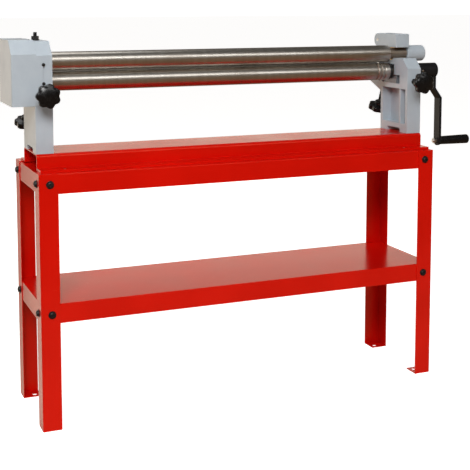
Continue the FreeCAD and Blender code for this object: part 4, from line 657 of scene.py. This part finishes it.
SHAFT, UPPER_JOURNAL, LOWER_JOURNAL, REAR_JOURNAL, CRANK_SEAT = 12 * MM, 16 * MM, 12.5 * MM, 10 * MM, 11 * MM
FACE_LEFT = lowest("lower_thrust_collars").x + COLLAR_WIDTH
FACE_RIGHT = highest("lower_thrust_collars").x - COLLAR_WIDTH
JOURNAL_LEFT = lowest("left_housing").x - JOURNAL_PROUD
UPPER_SEAT, LOWER_SEAT = lowest("roll_end_cap").x, lowest("roll_end_cap").x - CAP_GAP
roll("upper_roll_ground", "upper_roll", [
    (lowest("upper_gear").x, SHAFT), (JOURNAL_LEFT, SHAFT), (JOURNAL_LEFT, UPPER_JOURNAL),
    (FACE_LEFT, UPPER_JOURNAL), (FACE_LEFT, ROLL_R), (FACE_RIGHT, ROLL_R), (FACE_RIGHT, UPPER_JOURNAL),
    (UPPER_SEAT, UPPER_JOURNAL), (UPPER_SEAT, SHAFT), (highest("upper_roll").x, SHAFT)], UPPER_AXIS)
roll("lower_roll_ground", "lower_roll", [
    (lowest("lower_gear").x, SHAFT), (JOURNAL_LEFT, SHAFT), (JOURNAL_LEFT, LOWER_JOURNAL),
    (FACE_LEFT, LOWER_JOURNAL), (FACE_LEFT, ROLL_R), (FACE_RIGHT, ROLL_R), (FACE_RIGHT, LOWER_JOURNAL),
    (LOWER_SEAT, LOWER_JOURNAL), (LOWER_SEAT, CRANK_SEAT), (highest("lower_roll").x, CRANK_SEAT)],
    LOWER_AXIS, grooves=True)
roll("rear_roll_ground", "rear_roll", [
    (lowest("rear_roll").x, REAR_JOURNAL), (FACE_LEFT, REAR_JOURNAL), (FACE_LEFT, ROLL_R),
    (FACE_RIGHT, ROLL_R), (FACE_RIGHT, REAR_JOURNAL), (highest("rear_roll").x, REAR_JOURNAL)],
    REAR_AXIS, grooves=True, finish=REAR_STEEL_DARKENED_AS_SHADE)


# ---------------------------------------------------------------------------------------------------
# Adjusting screws and star knobs
# ---------------------------------------------------------------------------------------------------

KNOB_R, KNOB_HIGH, KNOB_HUB_R, KNOB_HUB = 31.5 * MM, 22 * MM, 13.5 * MM, 12 * MM
LOBE_COUNT, LOBE_HOLLOW, LOBE_CORE = 7, 4.4 * MM, 20 * MM
DOME_RISE, RIM_ROUND, BACK_ROUND = 6.5 * MM, 3.5 * MM, 3 * MM
REAR_TILT = math.radians(22)
UP_THE_SLANT = Vector((0, -math.sin(REAR_TILT), math.cos(REAR_TILT)))


def quarter(centre, run, rise, start, steps):
    """Points of an elliptic quarter arc in the plane of a turned outline; start is in degrees."""
    for step in range(1, steps + 1):
        turn = math.radians(start + 90 * step / steps)
        yield centre[0] - run * math.cos(turn), centre[1] + rise * math.sin(turn)


def knob_blank():
    """A shallow domed head with straight sides and a hub behind it, before its lobes are pressed."""
    dome_steps, side_steps, dome_r = 12, 4, KNOB_R - RIM_ROUND
    flat_r, flare_r, flare, hub_cut = 22 * MM, 17 * MM, 2 * MM, 1 * MM
    side_start, side_end, hub_end = DOME_RISE + RIM_ROUND, KNOB_HIGH - BACK_ROUND, KNOB_HIGH + KNOB_HUB
    outline = [(DOME_RISE * (step / dome_steps) ** 2, dome_r * step / dome_steps)
               for step in range(dome_steps + 1)]
    outline += quarter((side_start, dome_r), RIM_ROUND, RIM_ROUND, 0, 6)
    outline += [(side_start + (side_end - side_start) * step / side_steps, KNOB_R)
                for step in range(1, side_steps + 1)]
    outline += quarter((side_end, KNOB_R - BACK_ROUND), BACK_ROUND, BACK_ROUND, 90, 5)
    outline += [(KNOB_HIGH, flat_r), (KNOB_HIGH + flare / 5, flare_r), (KNOB_HIGH + flare, KNOB_HUB_R),
                (hub_end - hub_cut, KNOB_HUB_R), (hub_end, KNOB_HUB_R - hub_cut), (hub_end, 0)]
    return loft(outline, LOBE_COUNT * 20)


def star_knob(name, node, matrix):
    """A star knob with the middle of its dome at the matrix's place and its hub along local X."""
    mesh = LOBES.mesh(name, knob_blank(), Lobes=LOBE_COUNT, Hollow=LOBE_HOLLOW, Core=LOBE_CORE, Rim=KNOB_R,
                      Head=KNOB_HIGH, Finish=FINISHES[SLOT_OF[node]])
    smooth(mesh, 50)
    return dressed(name, placed(mesh, matrix), node)


def threaded_bar(name, node, stations, threads, depth, matrix):
    """A turned screw from its stations (x, radius). Each thread is (start, end, pitch, bar radius)."""
    finest = min(pitch for start, end, pitch, bar in threads) / RINGS_PER_PITCH
    outline = [(stations[0][0], 0)]
    for (x, radius), (next_x, next_radius) in zip(stations, stations[1:]):
        count = max(1, round((next_x - x) / finest)) if radius == next_radius else 1
        outline += [(x + (next_x - x) * step / count, radius) for step in range(count)]
    outline += [stations[-1], (stations[-1][0], 0)]
    mesh = loft(outline, SCREW_SIDES)
    for start, end, pitch, bar in threads:
        mesh = THREAD.mesh(name, mesh, Pitch=pitch, Depth=depth, Bar=bar, Start=start, End=end,
                           Finish=FINISHES[SLOT_OF[node]])
    return dressed(name, placed(mesh, matrix), node)


def pinned_collar(start, bar):
    """Stations of the thrust collar on an adjusting screw, with its corners broken."""
    wide, radius, cut = 5 * MM, 9 * MM, 0.4 * MM
    return [(start, bar), (start, radius - cut), (start + cut, radius), (start + wide - cut, radius),
            (start + wide, radius - cut), (start + wide, bar)]


def inner_ring(start, bar, radius):
    """Stations of the plain ring behind the wall of the housing."""
    wide = 2.5 * MM
    return [(start, bar), (start, radius), (start + wide, radius), (start + wide, bar)]


RINGS_PER_PITCH, SCREW_SIDES = 6, 32
FINE_PITCH, FINE_DEPTH, COARSE_PITCH, COARSE_DEPTH = 1.5 * MM, 0.75 * MM, 3 * MM, 1.3 * MM
THREAD_FADE, END_CUT = 1 * MM, 1 * MM

# The front screws run along Y and are measured from Y = 0. Their outer ends sit in the knobs.
FRONT_BAR, FRONT_OUTER, FRONT_THREAD, FRONT_INNER = 5 * MM, -128 * MM, -106 * MM, 9 * MM
FRONT_COLLAR, FRONT_RING = -80.3 * MM, -30.5 * MM
FRONT_STATIONS = [(FRONT_OUTER, 4.4 * MM), (FRONT_OUTER + END_CUT, FRONT_BAR),
                  *pinned_collar(FRONT_COLLAR, FRONT_BAR), *inner_ring(FRONT_RING, FRONT_BAR, 8 * MM),
                  (FRONT_INNER - END_CUT, FRONT_BAR), (FRONT_INNER, 4.2 * MM)]
FRONT_THREADS = [(FRONT_THREAD, FRONT_COLLAR - 0.3 * MM, FINE_PITCH, FRONT_BAR),
                 (FRONT_RING + 3 * MM, FRONT_INNER + THREAD_FADE, FINE_PITCH, FRONT_BAR)]

# The rear screws run up the slant and are measured from the rear roll's axis.
REAR_BAR, REAR_SEAT_R, REAR_OUTER, REAR_SHOULDER, REAR_INNER = 6 * MM, 5 * MM, -131 * MM, -108 * MM, 55 * MM
REAR_COLLAR, REAR_RING = -58.75 * MM, -29.7 * MM
REAR_STATIONS = [(REAR_OUTER, REAR_SEAT_R), (REAR_SHOULDER, REAR_SEAT_R), (REAR_SHOULDER, REAR_BAR),
                 *pinned_collar(REAR_COLLAR, REAR_BAR), *inner_ring(REAR_RING, REAR_BAR, 9 * MM),
                 (REAR_INNER - END_CUT, REAR_BAR), (REAR_INNER, 5 * MM)]
REAR_THREADS = [(REAR_SHOULDER - THREAD_FADE, REAR_COLLAR - 0.25 * MM, COARSE_PITCH, REAR_BAR),
                (REAR_RING + 3 * MM, REAR_INNER + THREAD_FADE, COARSE_PITCH, REAR_BAR)]
REAR_KNOB_DROP = 142 * MM
LOBE_TO_THE_TOP = math.pi / LOBE_COUNT


def adjusters(side):
    """The front and the rear adjusting screw of one housing, each with its star knob."""
    screw = middle(f"{side}_front_screw")
    threaded_bar(f"{side}_front_adjuster", f"{side}_front_screw", FRONT_STATIONS, FRONT_THREADS, FINE_DEPTH,
                 along(Y_AXIS, Vector((screw.x, 0, screw.z))))
    head = Vector((screw.x, lowest(f"{side}_front_knob").y, screw.z))
    star_knob(f"{side}_front_star_knob", f"{side}_front_knob", along(Y_AXIS, head, LOBE_TO_THE_TOP))
    axis = Vector((middle(f"{side}_rear_screw").x, REAR_AXIS.y, REAR_AXIS.z))
    threaded_bar(f"{side}_rear_adjuster", f"{side}_rear_screw", REAR_STATIONS, REAR_THREADS, COARSE_DEPTH,
                 along(UP_THE_SLANT, axis))
    head = axis - UP_THE_SLANT * REAR_KNOB_DROP
    star_knob(f"{side}_rear_star_knob", f"{side}_rear_knob", along(UP_THE_SLANT, head, LOBE_TO_THE_TOP))


def set_screw():
    """The set screw on top of the left housing, threaded over its whole length."""
    bar, length = 5 * MM, highest("set_screw").z - lowest("set_screw").z
    stations = [(0, 3.6 * MM), (END_CUT, bar), (length - END_CUT, bar), (length, 4 * MM)]
    threads = [(0, length + FINE_PITCH, FINE_PITCH, bar)]
    foot = Vector((middle("set_screw").x, middle("set_screw").y, lowest("set_screw").z))
    threaded_bar("set_screw_turned", "set_screw", stations, threads, FINE_DEPTH, along(Z_AXIS, foot))


adjusters("left")
adjusters("right")
set_screw()


# ---------------------------------------------------------------------------------------------------
# Grip of the crank
# ---------------------------------------------------------------------------------------------------

def grip():
    """A moulded grip: rounded at both ends, thicker outwards, with a recess for the spindle's head."""
    base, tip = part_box("crank_grip")
    length, outer = tip.x - base.x, (tip.z - base.z) / 2
    inner, bore, mouth, recess, lip = 12.5 * MM, 5.3 * MM, 8.8 * MM, 8 * MM, 1.2 * MM
    start, end, swell_steps = 2 * MM, 4 * MM, 12
    outline = [(0, bore), (0, inner - start), *quarter((start, inner - start), start, start, 0, 5)]
    for step in range(1, swell_steps + 1):
        run = step / swell_steps
        outline.append((start + (length - start - end) * run, inner + (outer - inner) * run ** 0.8))
    outline += quarter((length - end, outer - end), end, end, 90, 8)
    outline += [(length, mouth + lip), (length - lip, mouth), (length - recess, mouth),
                (length - recess, bore)]
    centre = middle("crank_grip")
    mesh = placed(loft(outline), Matrix.Translation((base.x, centre.y, centre.z)))
    mesh.name = "crank_grip_moulded"
    dressed("crank_grip_moulded", mesh, "crank_grip")


grip()


# ---------------------------------------------------------------------------------------------------
# Fasteners
# ---------------------------------------------------------------------------------------------------

def socket_head(name, washer_r, washer_h, head_r, head_h, socket_r):
    """A washer under a domed head with a hexagon socket, along local X from the seat outwards."""
    cut, dome_steps = 0.4 * MM, 6
    top, flat_r, side = washer_h + head_h, socket_r * 1.12, head_h * 0.25
    outline = [(0, 0), (0, washer_r - cut), (cut, washer_r), (washer_h - cut, washer_r),
               (washer_h, washer_r - cut), (washer_h, head_r)]
    for step in range(dome_steps + 1):
        turn = math.radians(90) * step / dome_steps
        outline.append((washer_h + side + (head_h - side) * math.sin(turn),
                        flat_r + (head_r - flat_r) * math.cos(turn)))
    outline += [(top, socket_r, hexagon), (top - head_h * 0.6, socket_r, hexagon), (top - head_h * 0.75, 0)]
    mesh = loft(outline, 36)
    mesh.name = name
    return mesh


def set_fasteners(name, node, shape, seats):
    """Copies of a fastener on its seats, each a (place, outward direction) pair, as one piece."""
    pattern = bpy.data.objects.new(name + "_pattern", shape)
    points = bpy.data.meshes.new(name + "_seats")
    points.from_pydata([tuple(spot) for spot, out in seats], [], [])
    direction = points.attributes.new("out", "FLOAT_VECTOR", "POINT")
    for number, (spot, out) in enumerate(seats):
        direction.data[number].vector = out
    mesh = SET_FASTENERS.mesh(name, points, Fastener=pattern, Finish=FINISHES[SLOT_OF[node]])
    bpy.data.objects.remove(pattern)
    return dressed(name, mesh, node)


BOLT_INSET, BOLT_DROP = 28 * MM, 26 * MM


def stand_bolt_seats():
    """A seat on each flange of every leg, at the top rails and at the shelf."""
    leg = highest("rear_right_leg")
    for top in (leg.z, highest("shelf").z):
        for side in (-1, 1):
            for row in (-1, 1):
                corner = Vector((side * leg.x, row * leg.y, top - BOLT_DROP))
                yield corner - X_AXIS * side * BOLT_INSET, Y_AXIS * row
                yield corner - Y_AXIS * row * BOLT_INSET, X_AXIS * side


BOLT_HEAD = socket_head("stand_bolt_head", washer_r=10 * MM, washer_h=2 * MM, head_r=7.5 * MM,
                        head_h=5 * MM, socket_r=3.6 * MM)
set_fasteners("stand_bolt_heads", "stand_bolts", BOLT_HEAD, list(stand_bolt_seats()))


# ---------------------------------------------------------------------------------------------------
# Every other node keeps its shape and takes its finish
# ---------------------------------------------------------------------------------------------------

for node, shape in frame["nodes"].items():
    shape.data.materials.clear()
    shape.data.materials.append(FINISHES[SLOT_OF[node]])


# ---------------------------------------------------------------------------------------------------
# Studio
# ---------------------------------------------------------------------------------------------------

def studio_sheet(name, corners, faces, glow):
    """A pale sheet of the studio. The machine neither mirrors it nor takes light from it."""
    mesh = bpy.data.meshes.new(name)
    mesh.from_pydata(corners, [], faces)
    made = bpy.data.objects.new(name, mesh)
    bpy.context.scene.collection.objects.link(made)
    pale = Finish("pale_" + name)
    tone = pale.noise(600 * MM, detail=2)
    paper = pale.mix(tone, (0.86, 0.86, 0.86), (0.89, 0.89, 0.89))
    mesh.materials.append(pale.done(paper, 0.9, pale.bump(tone, 0.1 * MM),
                                    Emission_Color=(1, 1, 1, 1), Emission_Strength=glow))
    made.visible_glossy = False
    made.visible_diffuse = False


def softbox(name, centre, target, size, watts, tint=(1, 1, 1), mirrored=True):
    """A soft lamp that faces a target. The camera doesn't see it; the machine may mirror it."""
    lamp = bpy.data.lights.new(name, "AREA")
    lamp.shape = "RECTANGLE"
    lamp.size, lamp.size_y = size
    lamp.energy = watts
    lamp.color = tint
    made = bpy.data.objects.new(name, lamp)
    made.location = centre
    made.rotation_euler = (Vector(target) - Vector(centre)).to_track_quat("-Z", "Y").to_euler()
    made.visible_camera = False
    made.visible_glossy = mirrored
    bpy.context.scene.collection.objects.link(made)


def room():
    """The dim room that the steel and the paint reflect: warm brown below the horizon, grey above."""
    world = bpy.data.worlds.new("studio_room")
    world.use_nodes = True
    sky = Graph(world.node_tree)
    height = sky.node("ShaderNodeSeparateXYZ", None,
                      {"Vector": sky.node("ShaderNodeTexCoord", output="Generated")}, output="Z")
    brown, dusk, grey = (0.19, 0.12, 0.07), (0.12, 0.09, 0.06), (0.08, 0.08, 0.08)
    stops = [(0.0, brown), (0.46, brown), (0.54, dusk), (1.0, grey)]
    tone = sky.node("ShaderNodeValToRGB", {"stops": stops}, {"Fac": height * 0.5 + 0.5})
    light = sky.node("ShaderNodeBackground", None, {"Color": tone, "Strength": 1})
    sky.node("ShaderNodeOutputWorld", None, {"Surface": light})
    bpy.context.scene.world = world


def camera():
    """A long lens at the left front, a little above the rolls, that looks slightly down."""
    lens = bpy.data.cameras.new("camera")
    lens.lens = LENS_LENGTH
    lens.sensor_width = SENSOR_WIDTH
    lens.shift_y = LENS_SHIFT
    lens.clip_end = FARTHEST
    made = bpy.data.objects.new("camera", lens)
    made.location = CAMERA_PLACE
    made.rotation_euler = (math.radians(90 - LOOK_DOWN), 0, math.radians(-LOOK_RIGHT))
    bpy.context.scene.collection.objects.link(made)
    bpy.context.scene.camera = made


LENS_LENGTH, SENSOR_WIDTH, LENS_SHIFT, FARTHEST = 80.546, 36, -0.28, 200
CAMERA_PLACE, LOOK_DOWN, LOOK_RIGHT = (-1.1018, -2.6953, 1.0898), 5.6935, 22.4949
REACH = 60
FOOT = [(-REACH, -REACH, 0), (REACH, -REACH, 0), (REACH, REACH, 0), (-REACH, REACH, 0)]
TOP = [(x, y, REACH) for x, y, z in FOOT]
WALLS = [(corner, (corner + 1) % 4, (corner + 1) % 4 + 4, corner + 4) for corner in range(4)]
WARM = (1, 0.90, 0.76)

studio_sheet("floor", FOOT, [(0, 1, 2, 3)], glow=0.9)
studio_sheet("backdrop", FOOT + TOP, WALLS, glow=1.3)
room()

# Each lamp has its place, what it faces, its width and height, and its watts.
softbox("front_strip", (-0.1, -2.6, 2.65), (0, 0, 0.8), (4.4, 0.8), 34)
softbox("left_key", (-1.5, -2.8, 2.7), (-0.3, 0, 0.6), (1.4, 1.4), 84)
softbox("left_panel", (-1.6, 0.2, 1.4), (-0.6, 0, 0.7), (1.2, 1.2), 2.5)
softbox("overhead", (-0.6, 0.9, 3.2), (-0.1, 0.1, 0.6), (1.8, 2.0), 22)
softbox("back_paper", (0.9, 3.4, 0.8), (0.2, 0, 0.6), (4.6, 1.3), 21, WARM)
softbox("rear_left_paper", (-2.1, 3.0, 0.0), (-0.5, 0, 0.5), (1.6, 2.8), 30, WARM)
softbox("floor_glow", (0.1, -0.55, 0.01), (0.1, -0.3, 0.6), (2.6, 0.7), 4, mirrored=False)
camera()
bpy.context.scene.view_settings.view_transform = "Standard"
